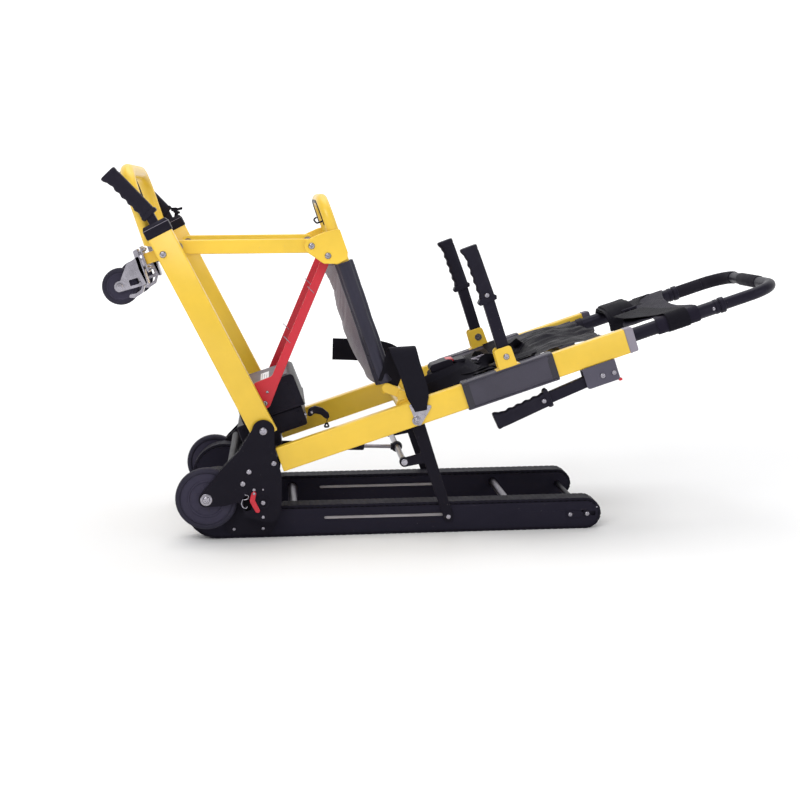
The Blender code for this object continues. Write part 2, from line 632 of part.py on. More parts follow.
# ---------------------------------------------------------------- caster (base) frame
for tag, sg in SIDES:
    rect_tube("base_tube_" + tag, base, -11, BASE_LEN, sg, "yellow_paint", "base")
FOOT_ARM_T, FOOT_ARM_Y = 9.0, (194.0, 211.0)
for tag, sg in SIDES:
    bm = bmesh.new()
    a, b = mirror_y((TUBE_Y[0], TUBE_Y[1] + 0.5), sg)
    c, d = mirror_y((FOOT_ARM_Y[0] - 0.5, FOOT_ARM_Y[1] + 0.5), sg)
    rings = []
    for s, dt, y0, y1 in ((BASE_LEN + GAP, 26.0, a, b), (BASE_LEN + 26.0, 26.0, a, b),
                          (BASE_LEN + 26.0, FOOT_ARM_T + 0.5, c, d), (BASE_LEN + GAP, FOOT_ARM_T + 0.5, c, d)):
        rings.append([bm.verts.new(world(base(s, t), y)) for t, y in ((dt, y0), (-dt, y0), (-dt, y1), (dt, y1))])
    for i in range(4):
        p, q = rings[i], rings[(i + 1) % 4]
        for k in range(4):
            bm.faces.new((p[k], p[(k + 1) % 4], q[(k + 1) % 4], q[k]))
    finish("base_collar_" + tag, bm, "black_plastic", "base")

# U-shaped foot hoop
HOOP_R, HOOP_Y = 13.6, 175.6
low, top = (-556.0, 592.0), (-600.5, 734.0)
pts = [(low[0], -HOOP_Y, low[1]), (top[0], -HOOP_Y, top[1]), (top[0], HOOP_Y, top[1]), (low[0], HOOP_Y, low[1])]
bm = bmesh.new()
add_sweep(bm, fillet_path(pts, 52, 5), HOOP_R, 14)
finish("foot_hoop", bm, "yellow_paint", "base", 40)


cb = cas(-103.0, -TRAIL)
bm = bmesh.new()
add_sweep(bm, [(cb[0], -yi, cb[1]), (cb[0], yi, cb[1])], 12.0, 16)
cross = finish("caster_crossbar", bm, "yellow_paint", "base", 40)
stubs = []
for sg in (-1, 1):
    y0, y1 = mirror_y((CASTER_Y - 12.5, CASTER_Y + 12.5), sg)
    stubs.append(prism("weld_stub%d" % sg, [cas(-103, -TRAIL - 11), cas(-103, -TRAIL + 11), cas(-62.4, -TRAIL + 11),
                                             cas(-62.4, -TRAIL - 11)], y0, y1, "yellow_paint", "base"))
    y0, y1 = mirror_y((CASTER_Y - 24, CASTER_Y + 24), sg)
    stubs.append(prism("weld_pad%d" % sg, [cas(-62.8, -TRAIL - 26), cas(-62.8, -TRAIL + 26), cas(-60.0, -TRAIL + 26),
                                            cas(-60.0, -TRAIL - 26)], y0, y1, "zinc", "base"))
boolean_join(cross, stubs)

for tag, sg in SIDES:
    yc = sg * CASTER_Y
    # fork: bearing cup, crown and two tapered cheeks in one pressed piece
    bm = bmesh.new()
    add_prism(bm, [cas(-55.0, -TRAIL - 22), cas(-55.0, 11.0), cas(-50.0, 11.0), cas(-46.0, -TRAIL - 22)],
              yc - 17.0, yc + 17.0)
    fork = finish("caster_fork_" + tag, bm, "zinc", "fork_" + tag, 30)
    parts = []
    cheek = [cas(-52.0, -40), cas(-52.0, 10), cas(-44, 10)] + \
            [cas(10.0 * math.cos(rad(a)), 10.0 * math.sin(rad(a))) for a in (60, 20, -20, -60, -100)] + [cas(-27.0, -37.0)]
    for k in (-1, 1):
        y0, y1 = sorted((yc + k * 14.2, yc + k * 17.0))
        parts.append(prism("weld_cheek_%s%d" % (tag, k), cheek, y0, y1, "zinc", "fork_" + tag,
                           holes=(circle(CASTER_C, 4.3, 10),)))
    bm = bmesh.new()
    q0, q1 = cas(-59.7, -TRAIL), cas(-53.0, -TRAIL)
    add_sweep(bm, [(q0[0], yc, q0[1]), (q1[0], yc, q1[1])], 19.0, 16)
    parts.append(finish("weld_cup_" + tag, bm, "zinc", "fork_" + tag, 30))
    boolean_join(fork, parts)
    bm = bmesh.new()
    prof = [(4.4, -13.6), (12.0, -13.6), (13.5, -11.0), (30.0, -11.0), (34.5, -9.0), (36.5, -4.0), (36.5, 4.0),
            (34.5, 9.0), (30.0, 11.0), (13.5, 11.0), (12.0, 13.6), (4.4, 13.6)]
    add_lathe(bm, CASTER_C, [(r, yc + y) for r, y in prof], 24)
    finish("caster_wheel_" + tag, bm, "rubber", "cwheel_" + tag, 35)

    # telescopic foot handle: bar inside the tube, grip bent outwards
    bm = bmesh.new()
    y0, y1 = mirror_y(FOOT_ARM_Y, sg)
    add_prism(bm, [base(250, FOOT_ARM_T), base(250, -FOOT_ARM_T), base(484, -FOOT_ARM_T), base(484, FOOT_ARM_T)], y0, y1)
    arm = finish("foot_handle_" + tag, bm, "rubber", "foot_" + tag)
    y0, y1 = mirror_y((TUBE_Y[0] - 0.2, TUBE_Y[1] + 0.2), sg)
    g = prism("weld_foot_grip_" + tag, grip_outline(base(474, 0), 133.0, 112.0, 1), y0, y1, "rubber", "foot_" + tag)
    boolean_join(arm, [g])

# ---------------------------------------------------------------- seat
def seat(s, t=0.0):
    return along(SEAT_PIVOT, SEAT_ANGLE, s, t)


SEAT_T = 24.0
SEAT_R = 12.0
pts = []
for s, y in ((12.0, -SEAT_LEG_Y), (416.0, -SEAT_LEG_Y), (416.0, SEAT_LEG_Y), (12.0, SEAT_LEG_Y)):
    q = seat(s, SEAT_T)
    pts.append((q[0], y, q[1]))
bm = bmesh.new()
add_sweep(bm, fillet_path(pts, 48, 5), SEAT_R, 14)
seat_frame = finish("seat_frame", bm, "yellow_paint", "seat", 40)
lugs = []
for sg in (-1, 1):
    y0, y1 = mirror_y((178.5, 184.2), sg)
    lug_o = slot_outline(SEAT_PIVOT, seat(22, SEAT_T), 8.8, 10.0, 6)
    lugs.append(prism("weld_seat_lug%d" % sg, lug_o, y0, y1, "yellow_paint", "seat"))
bracket = rounded([(-258.1, 587.0), (-253.0, 596.0), (-220.6, 610.2), (-196.4, 616.2), (-186.8, 616.2), (-171.6, 571.0),
                   (-172.4, 558.2), (-190.5, 548.4), (-219.0, 549.0), (-253.6, 573.0)], [5, 6, 4, 2, 3, 4, 3, 6, 10, 8], 2)
for tag, sg in SIDES:
    y0, y1 = mirror_y((SEAT_LEG_Y + SEAT_R - 1.5, 187.2), sg)
    lugs.append(prism("weld_seat_bracket_" + tag, bracket, y0, y1, "yellow_paint", "seat"))
boolean_join(seat_frame, lugs)

rs = SEAT_R + 1.7
arcp = [(SEAT_LEG_Y + rs * math.cos(rad(a)), SEAT_T - rs * math.sin(rad(a))) for a in range(150, -91, -30)]
dip = [(y, SEAT_T + rs + 26.0 * (1 - (abs(y) / 150.0) ** 2)) for y in (-150, -100, -50, 0, 50, 100, 150)]
path = [(-y, t) for y, t in arcp] + dip + arcp[::-1]
stroke("seat_sling", path, 2.4, seat, 35.0, 284.0, "grey_vinyl", "seat", 50)

# ---------------------------------------------------------------- links and braces
for tag, sg in SIDES:
    y0, y1 = mirror_y((165.0, 180.2), sg)
    prism("seat_link_" + tag, slot_outline(LINK_REAR, LINK_FRONT, 14.0, 14.0, 8), y0, y1, "yellow_paint", "link_" + tag)
    y0, y1 = mirror_y((146.0, 152.0), sg)
    brace = rounded([(-218.0, 568.0), (-207.5, 574.0), (-202.0, 561.0), (-312.0, 310.0), (-331.0, 263.0), (-340.0, 256.0),
                     (-350.0, 262.0), (-366.0, 303.0), (-360.0, 311.0), (-326.0, 324.0)],
                    [7, 7, 7, 20, 6, 6, 6, 4, 4, 6], 2)
    prism("seat_brace_" + tag, brace, y0, y1, "red_paint", "brace_" + tag)

# ---------------------------------------------------------------- crawler tracks
def loop_outline(off=0.0, n=10):
    """Belt loop, offset inwards by off: floor run, nose, top run, guide bend, rear sprocket."""
    nose = TRACK_H / 2 - off
    rs_ = SPROCKET_R - off
    rg = GUIDE_R + off
    ax, az = SPROCKET_C
    bx, bz = GUIDE_C[0], TRACK_H + GUIDE_R + 0.0
    dx, dz = bx - ax, bz - az
    dist = math.hypot(dx, dz)
    th = math.degrees(math.atan2(dz, dx))
    al = math.degrees(math.acos((rs_ + rg) / dist))
    pts = arc((IDLER_C[0], TRACK_H / 2), nose, -90, 90, n)
    pts += arc((bx, bz), rg, 270, th + al + 180, 4)
    pts += arc(SPROCKET_C, rs_, th + al, 270, 2 * n)
    return pts


for tag, sg in SIDES:
    y0, y1 = mirror_y((BELT_IN, BELT_OUT), sg)
    prism("track_belt_" + tag, loop_outline(0.0), y0, y1, "rubber", "track", holes=(loop_outline(BELT_T),), smooth=50)

# side panels of both tracks, spacers and the two cross tubes, welded into one carriage
q = BELT_OUT + GAP
q2 = BELT_IN - GAP
SLOT = ((-224.0, 38.0), (26.0, 38.0))
slot_h = slot_outline(SLOT[0], SLOT[1], 3.2, 3.2, 4)
tip_h = [(318.0, 27.5), (329.0, 27.5), (329.0, 36.5), (318.0, 36.5)]


def panel_outline():
    """Side panel: the belt loop less the belt, with a lug that rises to the fold pivot."""
    off = BELT_T - 0.5
    nose, rr = TRACK_H / 2 - off, SPROCKET_R - off
    pts = arc((IDLER_C[0], TRACK_H / 2), nose, -90, 90, 8)
    pts += [(-312.0, TRACK_H - off)]
    pts += arc(TRACK_PIVOT, 19.0, 20, 110, 4)
    pts += arc(SPROCKET_C, rr, 52, 270, 14)
    return pts


carriage = None
welds = []
for sg in (-1, 1):
    y0, y1 = mirror_y((q, q + PANEL_T), sg)
    o = prism("weld_outer%d" % sg if sg > 0 else "track_carriage", panel_outline(), y0, y1, "black_paint", "track",
              holes=(slot_h, tip_h, circle(TRACK_PIVOT, 9.0, 16), circle(SPROCKET_C, 8.6, 14), circle(IDLER_C, 6.5, 12)))
    if sg < 0:
        carriage = o
    else:
        welds.append(o)
    y0, y1 = mirror_y((q2 - PANEL_T, q2), sg)
    welds.append(prism("weld_inner%d" % sg, panel_outline(), y0, y1, "black_paint", "track",
                       holes=(slot_h, circle(SPROCKET_C, 9.6, 14), circle(IDLER_C, 6.5, 12))))
    y0, y1 = mirror_y((q2 - 1.0, q + 1.0), sg)
    for k, (x0, x1) in enumerate(((-290.0, -262.0), (120.0, 150.0))):
        welds.append(prism("weld_spacer%d_%d" % (sg, k), [(x0, 12.0), (x1, 12.0), (x1, 26.0), (x0, 26.0)], y0, y1,
                           "black_paint", "track"))
    welds.append(prism("weld_skid%d" % sg, circle((GUIDE_C[0], TRACK_H + GUIDE_R), GUIDE_R - 0.4, 12), y0, y1,
                       "black_paint", "track"))
for k, x in enumerate((-288.0, 162.0)):
    bm2 = bmesh.new()
    yy = q2 - 1.0
    add_sweep(bm2, [(x, -yy, 40.0), (x, yy, 40.0)], 9.5 if k == 0 else 8.0, 14)
    welds.append(finish("weld_cross%d" % k, bm2, "black_paint", "track", 40))
boolean_join(carriage, welds)

# drive shaft with both rear sprockets; front idlers on their axle
bm = bmesh.new()
ys = BELT_OUT - 1.5
rs_ = SPROCKET_R - BELT_T - 0.4
ye = BELT_OUT + GAP + PANEL_T
prof = [(0.0, -ye), (8.0, -ye), (8.0, -ys), (rs_, -ys), (rs_, -BELT_IN - 1.5), (9.0, -BELT_IN - 1.5),
        (9.0, BELT_IN + 1.5), (rs_, BELT_IN + 1.5), (rs_, ys), (8.0, ys), (8.0, ye), (0.0, ye)]
add_lathe(bm, SPROCKET_C, prof, 24)
finish("drive_sprockets", bm, "black_plastic", "sprockets", 35)
bm = bmesh.new()
ri = TRACK_H / 2 - BELT_T - 0.4
prof = [(0.0, -ye), (6.0, -ye), (6.0, -ys), (ri, -ys), (ri, -BELT_IN - 1.5), (6.0, -BELT_IN - 1.5),
        (6.0, BELT_IN + 1.5), (ri, BELT_IN + 1.5), (ri, ys), (6.0, ys), (6.0, ye), (0.0, ye)]
add_lathe(bm, IDLER_C, prof, 20)
finish("front_idlers", bm, "black_plastic", "idlers", 35)

# strut arms between the back frame and the slots of the tracks
for tag, sg in SIDES:
    y0, y1 = mirror_y((185.6, 189.4), sg)
    arm = prism("track_arm_" + tag, slot_outline(ARM_TOP, ARM_PIN, 13.5, 10.0, 8), y0, y1, "black_paint", "arm")
    w = [prism("weld_arm_lug_" + tag, slot_outline(ARM_LUG, along(ARM_LUG, 12, 42), 9.5, 11.0, 6), y0, y1,
               "black_paint", "arm")]
    bm = bmesh.new()
    add_sweep(bm, [(ARM_LUG[0], sg * 13.0, ARM_LUG[1]), (ARM_LUG[0], sg * 187.0, ARM_LUG[1])], 6.0, 12)
    w.append(finish("weld_arm_rod_" + tag, bm, "zinc", "arm", 40))
    boolean_join(arm, w)

# gas spring along the middle: cylinder on the front cross tube, ball end by the arm rods
GV = Vector((ARM_LUG[0] - PLATE_BOLTS[0][0], ARM_LUG[1] - PLATE_BOLTS[0][1]))
GA = math.degrees(math.atan2(GV.y, GV.x))
GL = GV.length


def gas(s, t=0.0):
    return along(PLATE_BOLTS[0], GA, s, t)


eye = prism("gas_spring_cylinder", circle(PLATE_BOLTS[0], 12.6, 18), -7.0, 7.0, "black_paint", "gas_cylinder",
            holes=(circle(PLATE_BOLTS[0], 8.5, 14),))
bm = bmesh.new()
n = 14
rings = []
for s_, r_ in ((11.5, 9.0), (192.0, 9.0), (192.0, 4.6), (60.0, 4.6)):
    rings.append([bm.verts.new(world(gas(s_, r_ * math.cos(2 * math.pi * k / n)), r_ * math.sin(2 * math.pi * k / n)))
                  for k in range(n)])
for a, b in zip(rings, rings[1:]):
    for k in range(n):
        bm.faces.new((a[k], a[(k + 1) % n], b[(k + 1) % n], b[k]))
bm.faces.new(rings[0])
bm.faces.new(rings[-1])
w = finish("weld_gas_body", bm, "black_paint", "gas_cylinder", 40)
boolean_join(eye, [w])
bm = bmesh.new()
rings = []
for s_, r_ in ((120.0, 4.0), (GL - 9.0, 4.0), (GL - 9.0, 8.0), (GL - 6.0, 11.0), (GL + 6.0, 11.0), (GL + 9.0, 8.0)):
    rings.append([bm.verts.new(world(gas(s_, r_ * math.cos(2 * math.pi * k / n)), r_ * math.sin(2 * math.pi * k / n)))
                  for k in range(n)])
for a, b in zip(rings, rings[1:]):
    for k in range(n):
        bm.faces.new((a[k], a[(k + 1) % n], b[(k + 1) % n], b[k]))
bm.faces.new(rings[0])
bm.faces.new(rings[-1])
finish("gas_spring_rod", bm, "zinc", "gas_rod", 40)

# red release lever in front of the left inner plate, and the curved battery pull lever
y0, y1 = -(OUT_PLATE[1] + GAP + 3.2), -(OUT_PLATE[1] + GAP)
prism("release_lever", [(-372.5, 103.0), (-366.0, 108.0), (-360.0, 104.0), (-361.5, 84.0), (-352.5, 63.0), (-355.0, 57.0),
                        (-362.0, 58.0), (-373.5, 83.0)], y0, y1, "red_paint", "release")
lev = [(-253.0, 236.0), (-251.0, 248.0), (-240.0, 253.0), (-225.0, 248.0), (-212.0, 238.0), (-211.0, 231.0), (-218.0, 229.0),
       (-231.0, 236.0)]
prism("pull_lever", rounded(lev, 3.0, 2), -104.0, -92.0, "black_plastic", "pull")
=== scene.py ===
import math

import bmesh
import bpy
import numpy as np
from mathutils import Matrix, Vector, noise
from mathutils.geometry import tessellate_polygon


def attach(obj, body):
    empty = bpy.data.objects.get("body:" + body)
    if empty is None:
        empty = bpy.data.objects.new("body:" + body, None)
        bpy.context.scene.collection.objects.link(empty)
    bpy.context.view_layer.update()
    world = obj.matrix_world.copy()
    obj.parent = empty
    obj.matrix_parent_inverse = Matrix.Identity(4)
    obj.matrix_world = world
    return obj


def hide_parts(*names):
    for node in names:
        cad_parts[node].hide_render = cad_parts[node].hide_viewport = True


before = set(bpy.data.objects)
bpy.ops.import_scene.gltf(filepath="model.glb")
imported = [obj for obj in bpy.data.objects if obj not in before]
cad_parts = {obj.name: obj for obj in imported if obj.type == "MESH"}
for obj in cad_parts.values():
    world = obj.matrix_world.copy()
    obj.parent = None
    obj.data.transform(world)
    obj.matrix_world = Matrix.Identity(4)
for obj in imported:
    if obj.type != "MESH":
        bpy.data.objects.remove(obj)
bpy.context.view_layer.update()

SC = bpy.context.scene
MM = 0.001
SX = -30.2

# ------------------------------------------------------------------ layout of the frame, as in the CAD (mm, XZ plane)
FRAME_HALF, TUBE_W, TUBE_H, TUBE_WALL = 215.0, 25.0, 50.0, 2.0
TY = (FRAME_HALF - TUBE_W, FRAME_HALF)
FRAME_SLOPE, BACK_ORIGIN, BACK_LEN = 17.8, (-313.95, 163.75), 732.0
BASE_ANGLE, BASE_PIVOT, BASE_LEN = 116.15, (-345.0, 223.0), 431.0
GROUND_ANGLE, SEAT_ANGLE, SEAT_PIVOT = 107.0, 108.2, (-67.5, 286.2)
LINK_REAR, LINK_FRONT = (-504.0, 584.6), (-242.8, 584.2)
BRACE_TOP, BRACE_FOOT = (-210.9, 564.6), (-341.0, 269.0)
TRACK_PIVOT, TRACK_H, BELT_T, BELT_IN, BELT_OUT, PANEL_T = (-348.5, 79.4), 64.0, 7.0, 133.0, 180.0, 4.2
SPROCKET_C, SPROCKET_R, GUIDE_C, GUIDE_R, IDLER_C = (-437.0, 70.0), 70.0, (-338.0, 72.6), 8.0, (309.0, 32.0)
ARM_TOP, ARM_PIN, ARM_LUG = (-37.7, 232.0), (24.9, 34.0), (-63.8, 148.3)
WHEEL_C, WHEEL_R, CASTER_C, CASTER_R, CASTER_Y, TRAIL = (-460.4, 88.2), 62.0, (-618.3, 509.0), 36.5, 160.0, 36.0
PLATE_BOLTS = ((-325.6, 158.3), (-375.1, 142.7), (-387.7, 118.7))
SIDE_BOLT, SIDE_ANGLE, REAR_BOLT, REAR_ANGLE = (138.8, 361.9), 107.3, (333.7, 320.0), 202.5
SEAT_LEG_Y, SEAT_T, SEAT_R = 170.0, 24.0, 12.0
SLEEVE_R, LEG_R, HANDLE_T, HANDLE_Y = 14.2, 12.0, 2.0, 175.5
HOOP_R, HOOP_Y = 13.6, 175.6
OUT_PLATE, IN_PLATE = (215.3, 219.8), (185.5, 189.7)


def rad(a):
    return math.radians(a)


def unit(a):
    return (math.cos(rad(a)), math.sin(rad(a)))


def along(o, a, s, t=0.0):
    c, q = unit(a)
    return (o[0] + s * c - t * q, o[1] + s * q + t * c)


def back(s, t=0.0):
    return along(BACK_ORIGIN, FRAME_SLOPE, s, t)


def base(s, t=0.0):
    return along(BASE_PIVOT, BASE_ANGLE, s, t)


def seat(s, t=0.0):
    return along(SEAT_PIVOT, SEAT_ANGLE, s, t)


def cas(a, p):
    d, q = unit(GROUND_ANGLE + 90), unit(GROUND_ANGLE + 180)
    return (CASTER_C[0] + a * d[0] + p * q[0], CASTER_C[1] + a * d[1] + p * q[1])


GV = (ARM_LUG[0] - PLATE_BOLTS[0][0], ARM_LUG[1] - PLATE_BOLTS[0][1])
GL = math.hypot(*GV)


def gas(s, t=0.0):
    return along(PLATE_BOLTS[0], math.degrees(math.atan2(GV[1], GV[0])), s, t)


def V(p, y=0.0):
    return Vector(((p[0] + SX) * MM, y * MM, p[1] * MM))


def D(p):
    """Design point (x, y, z) in mm to the row frame."""
    return Vector(((p[0] + SX) * MM, p[1] * MM, p[2] * MM))


def span(y0, y1, sg):
    return (y0, y1) if sg > 0 else (-y1, -y0)


SIDES = (("l", -1), ("r", 1))


# ------------------------------------------------------------------ materials
def lin(h):
    v = [int(h[i:i + 2], 16) / 255 for i in (0, 2, 4)]
    return [c / 12.92 if c <= 0.04045 else ((c + 0.055) / 1.055) ** 2.4 for c in v]


class Mat:
    """Small builder round one Principled material whose patterns run in the part's own coordinates, in metres."""

    def __init__(self, name, rough, metal=0.0, coat=0.0, spec=0.5, sheen=0.0):
        self.m = bpy.data.materials.new(name)
        self.m.use_nodes = True
        self.nt = self.m.node_tree
        self.b = self.nt.nodes["Principled BSDF"]
        self.b.inputs["Roughness"].default_value = rough
        self.b.inputs["Metallic"].default_value = metal
        self.b.inputs["Coat Weight"].default_value = coat
        self.b.inputs["Coat Roughness"].default_value = 0.25
        self.b.inputs["Specular IOR Level"].default_value = spec
        self.b.inputs["Sheen Weight"].default_value = sheen
        self.b.inputs["Sheen Roughness"].default_value = 0.4
        self.co = self.n("ShaderNodeTexCoord").outputs["Object"]
        self.height = None

    def n(self, kind):
        return self.nt.nodes.new(kind)

    def link(self, a, b):
        self.nt.links.new(a, b)

    def noise(self, scale, detail=3.0, rough=0.55, vec=None, dist=0.0):
        t = self.n("ShaderNodeTexNoise")
        t.inputs["Scale"].default_value = scale
        t.inputs["Detail"].default_value = detail
        t.inputs["Roughness"].default_value = rough
        t.inputs["Distortion"].default_value = dist
        self.link(vec or self.co, t.inputs["Vector"])
        return t.outputs["Fac"]

    def ramp(self, fac, stops):
        r = self.n("ShaderNodeValToRGB")
        el = r.color_ramp.elements
        while len(el) < len(stops):
            el.new(0.5)
        for e, (p, c) in zip(el, stops):
            e.position = p
            e.color = (c, c, c, 1) if isinstance(c, (int, float)) else (*c, 1)
        self.link(fac, r.inputs["Fac"])
        return r.outputs["Color"]

    def math(self, op, a, b=None, clamp=False):
        x = self.n("ShaderNodeMath")
        x.operation = op
        x.use_clamp = clamp
        for i, v in enumerate((a, b)):
            if v is None:
                continue
            if isinstance(v, (int, float)):
                x.inputs[i].default_value = v
            else:
                self.link(v, x.inputs[i])
        return x.outputs[0]

    def mix(self, fac, a, b, mode="MIX"):
        x = self.n("ShaderNodeMix")
        x.data_type = "RGBA"
        x.blend_type = mode
        for s, v in ((x.inputs[0], fac), (x.inputs[6], a), (x.inputs[7], b)):
            if isinstance(v, (int, float)):
                s.default_value = v
            elif isinstance(v, (list, tuple)):
                s.default_value = (*v, 1)
            else:
                self.link(v, s)
        return x.outputs[2]

    def color(self, c):
        self.link(c, self.b.inputs["Base Color"])

    def rough(self, fac, lo, hi):
        r = self.n("ShaderNodeMapRange")
        r.inputs["To Min"].default_value = lo
        r.inputs["To Max"].default_value = hi
        self.link(fac, r.inputs["Value"])
        self.link(r.outputs[0], self.b.inputs["Roughness"])

    def bump(self, h, strength, dist):
        x = self.n("ShaderNodeBump")
        x.inputs["Strength"].default_value = strength
        x.inputs["Distance"].default_value = dist
        self.link(h, x.inputs["Height"])
        if self.height is not None:
            self.link(self.height, x.inputs["Normal"])
        self.height = x.outputs["Normal"]
        self.link(self.height, self.b.inputs["Normal"])

    def attr(self, name="cloth"):
        a = self.n("ShaderNodeAttribute")
        a.attribute_name = name
        return a.outputs["Vector"]

    def wave(self, vec, axis, scale, dist=0.0, profile="SIN"):
        w = self.n("ShaderNodeTexWave")
        w.wave_type = "BANDS"
        w.bands_direction = axis
        w.wave_profile = profile
        w.inputs["Scale"].default_value = scale
        w.inputs["Distortion"].default_value = dist
        w.inputs["Detail"].default_value = 1.0
        self.link(vec, w.inputs["Vector"])
        return w.outputs["Fac"]


def paint(name, hexa, rough=0.32, coat=0.35, peel=0.10, dirt=0.10, chips=0.0, var=0.06, spec=0.5):
    """Powder coat: orange peel, faint blotches, dust in patches, a few rubbed specks."""
    c = lin(hexa)
    M = Mat(name, rough, 0.0, coat, spec)
    blot = M.noise(7.0, 4.0)
    dark = [x * (1 - var) for x in c]
    lite = [min(1.0, x * (1 + var)) for x in c]
    col = M.ramp(blot, [(0.35, dark), (0.65, lite)])
    if dirt:
        d = M.ramp(M.noise(26.0, 6.0, 0.7), [(0.52, 0.0), (0.8, dirt)])
        col = M.mix(d, col, [x * 0.55 + 0.02 for x in c])
    if chips:
        k = M.ramp(M.noise(210.0, 2.0, 0.5), [(0.745, 0.0), (0.765, chips)])
        col = M.mix(k, col, [0.30, 0.28, 0.27])
    M.color(col)
    M.rough(M.noise(38.0, 3.0), rough - 0.07, rough + 0.1)
    M.bump(M.noise(620.0, 2.0, 0.4), peel, 0.0004)
    M.bump(M.noise(2600.0, 2.0), peel * 0.6, 0.00012)
    return M.m


def metal(name, hexa, rough=0.3, brush=None, tint=0.1, dull=0.0):
    c = lin(hexa)
    M = Mat(name, rough, 1.0 - dull)
    blot = M.noise(60.0, 5.0, 0.6)
    M.color(M.ramp(blot, [(0.3, [x * (1 - tint) for x in c]), (0.7, [min(1, x * (1 + tint)) for x in c])]))
    M.rough(M.noise(160.0, 4.0), rough - 0.1, rough + 0.14)
    if brush:
        mp = M.n("ShaderNodeMapping")
        mp.inputs["Scale"].default_value = brush
        M.link(M.co, mp.inputs["Vector"])
        M.bump(M.noise(1.0, 3.0, 0.6, vec=mp.outputs[0]), 0.12, 0.0002)
    else:
        M.bump(M.noise(900.0, 3.0), 0.1, 0.0002)
    return M.m


def plastic(name, hexa, rough=0.45, grain=0.14, coat=0.0, scale=1400.0, dust=0.12, sheen=0.0, spec=0.3):
    """Moulded plastic or rubber with a fine spark-eroded grain and a little dust."""
    c = lin(hexa)
    M = Mat(name, rough, 0.0, coat, spec, sheen)
    col = M.ramp(M.noise(9.0, 4.0), [(0.3, [x * 0.85 for x in c]), (0.7, [x * 1.15 for x in c])])
    d = M.ramp(M.noise(34.0, 6.0, 0.72), [(0.5, 0.0), (0.82, dust)])
    col = M.mix(d, col, [0.07, 0.066, 0.074])
    M.color(col)
    M.rough(M.noise(50.0, 4.0), rough - 0.08, rough + 0.12)
    M.bump(M.noise(scale, 3.0, 0.6), grain, 0.00025)
    return M.m


def coated_cloth(name, hexa, rough=0.5, spec=0.35, sheen=0.06):
    """PVC coated weave: fine crossed threads under a soft film, with long soft creases."""
    c = lin(hexa)
    M = Mat(name, rough, 0.0, 0.10 if sheen else 0.0, spec, sheen)
    v = M.attr()
    warp, weft = M.wave(v, "X", 330.0), M.wave(v, "Y", 330.0)
    weave = M.math("MULTIPLY", warp, weft)
    col = M.ramp(M.noise(11.0, 4.0), [(0.3, [x * 0.86 for x in c]), (0.72, [x * 1.16 for x in c])])
    # thread crossings are painted lighter where they stand highest: painted highlight on the weave
    col = M.mix(M.math("MULTIPLY", weave, 0.22), col, [min(1, x * 1.7 + 0.01) for x in c])
    M.color(col)
    M.rough(M.noise(70.0, 3.0), rough - 0.08, rough + 0.1)
    M.bump(M.noise(13.0, 3.0, 0.5, vec=v, dist=0.6), 0.22, 0.004)
    M.bump(weave, 0.35, 0.0003)
    return M.m


def webbing(name, hexa, rough=0.62):
    """Woven belt: cross ribs with a chevron twill."""
    c = lin(hexa)
    M = Mat(name, rough, 0.0, 0.0, 0.07, 0.0)
    v = M.attr()
    sep = M.n("ShaderNodeSeparateXYZ")
    M.link(v, sep.inputs[0])
    u, s = sep.outputs[0], sep.outputs[1]
    tri = M.math("PINGPONG", u, 0.006)
    diag = M.math("ADD", s, M.math("MULTIPLY", tri, 1.2))
    rib = M.math("SINE", M.math("MULTIPLY", diag, 2 * math.pi / 0.0024))
    thread = M.math("SINE", M.math("MULTIPLY", u, 2 * math.pi / 0.0011))
    h = M.math("ADD", M.math("MULTIPLY", rib, 0.5), M.math("MULTIPLY", thread, 0.25))
    h01 = M.math("ADD", M.math("MULTIPLY", h, 0.5), 0.5, True)
    # raised ribs and threads are painted lighter by their height h01: painted highlight on the weave
    col = M.mix(M.math("MULTIPLY", h01, 0.4), [x * 0.8 for x in c], [min(1, x * 1.9 + 0.004) for x in c])
    fuzz = M.ramp(M.noise(60.0, 5.0, 0.7), [(0.45, 0.0), (0.85, 0.25)])
    M.color(M.mix(fuzz, col, [0.015, 0.014, 0.019]))
    M.bump(h01, 0.5, 0.0005)
    M.bump(M.noise(900.0, 2.0), 0.15, 0.0002)
    return M.m


YELLOW = paint("yellow_powder_coat", "E9C13C", 0.33, 0.22, 0.08, 0.08, 0.35, 0.06, 0.4)
RED = paint("red_powder_coat", "C61E31", 0.36, 0.2, 0.1, 0.08, 0.3, 0.06, 0.4)
BLACK = paint("black_powder_coat", "151319", 0.46, 0.0, 0.2, 0.08, 0.2, 0.12, 0.14)
BLACK_TUBE = paint("black_tube_coat", "17151E", 0.38, 0.0, 0.14, 0.06, 0.15, 0.12, 0.2)
ZINC = metal("zinc_plate", "A3A0A9", 0.24, None, 0.2)
STEEL = metal("brushed_rod", "908D96", 0.28, (60.0, 1500.0, 1500.0))
TUBE_STEEL = metal("turned_cross_tube", "65616B", 0.36, (1500.0, 40.0, 1500.0))
RUBBER = plastic("belt_rubber", "1A1821", 0.62, 0.35, 0.0, 900.0, 0.14, 0.0, 0.15)
GRIP = plastic("grip_rubber", "19171F", 0.46, 0.3, 0.0, 1500.0, 0.1, 0.0, 0.2)
TYRE = plastic("tyre_rubber", "26242F", 0.55, 0.25, 0.0, 1100.0, 0.22, 0.0, 0.25)
HUB = plastic("wheel_hub_plastic", "2E2B39", 0.42, 0.2, 0.0, 1500.0, 0.16, 0.0, 0.3)
PLASTIC = plastic("black_moulding", "131118", 0.42, 0.25, 0.0, 1300.0, 0.08, 0.0, 0.2)
GREYCAP = plastic("grey_end_cap", "8C8692", 0.5, 0.18, 0.0, 1400.0, 0.0)
FOAM = plastic("foam_sleeve", "1B191F", 0.7, 0.4, 0.0, 700.0, 0.1, 0.0, 0.15)
CLOTH = coated_cloth("coated_sleeve_cloth", "3B3845", 0.46)
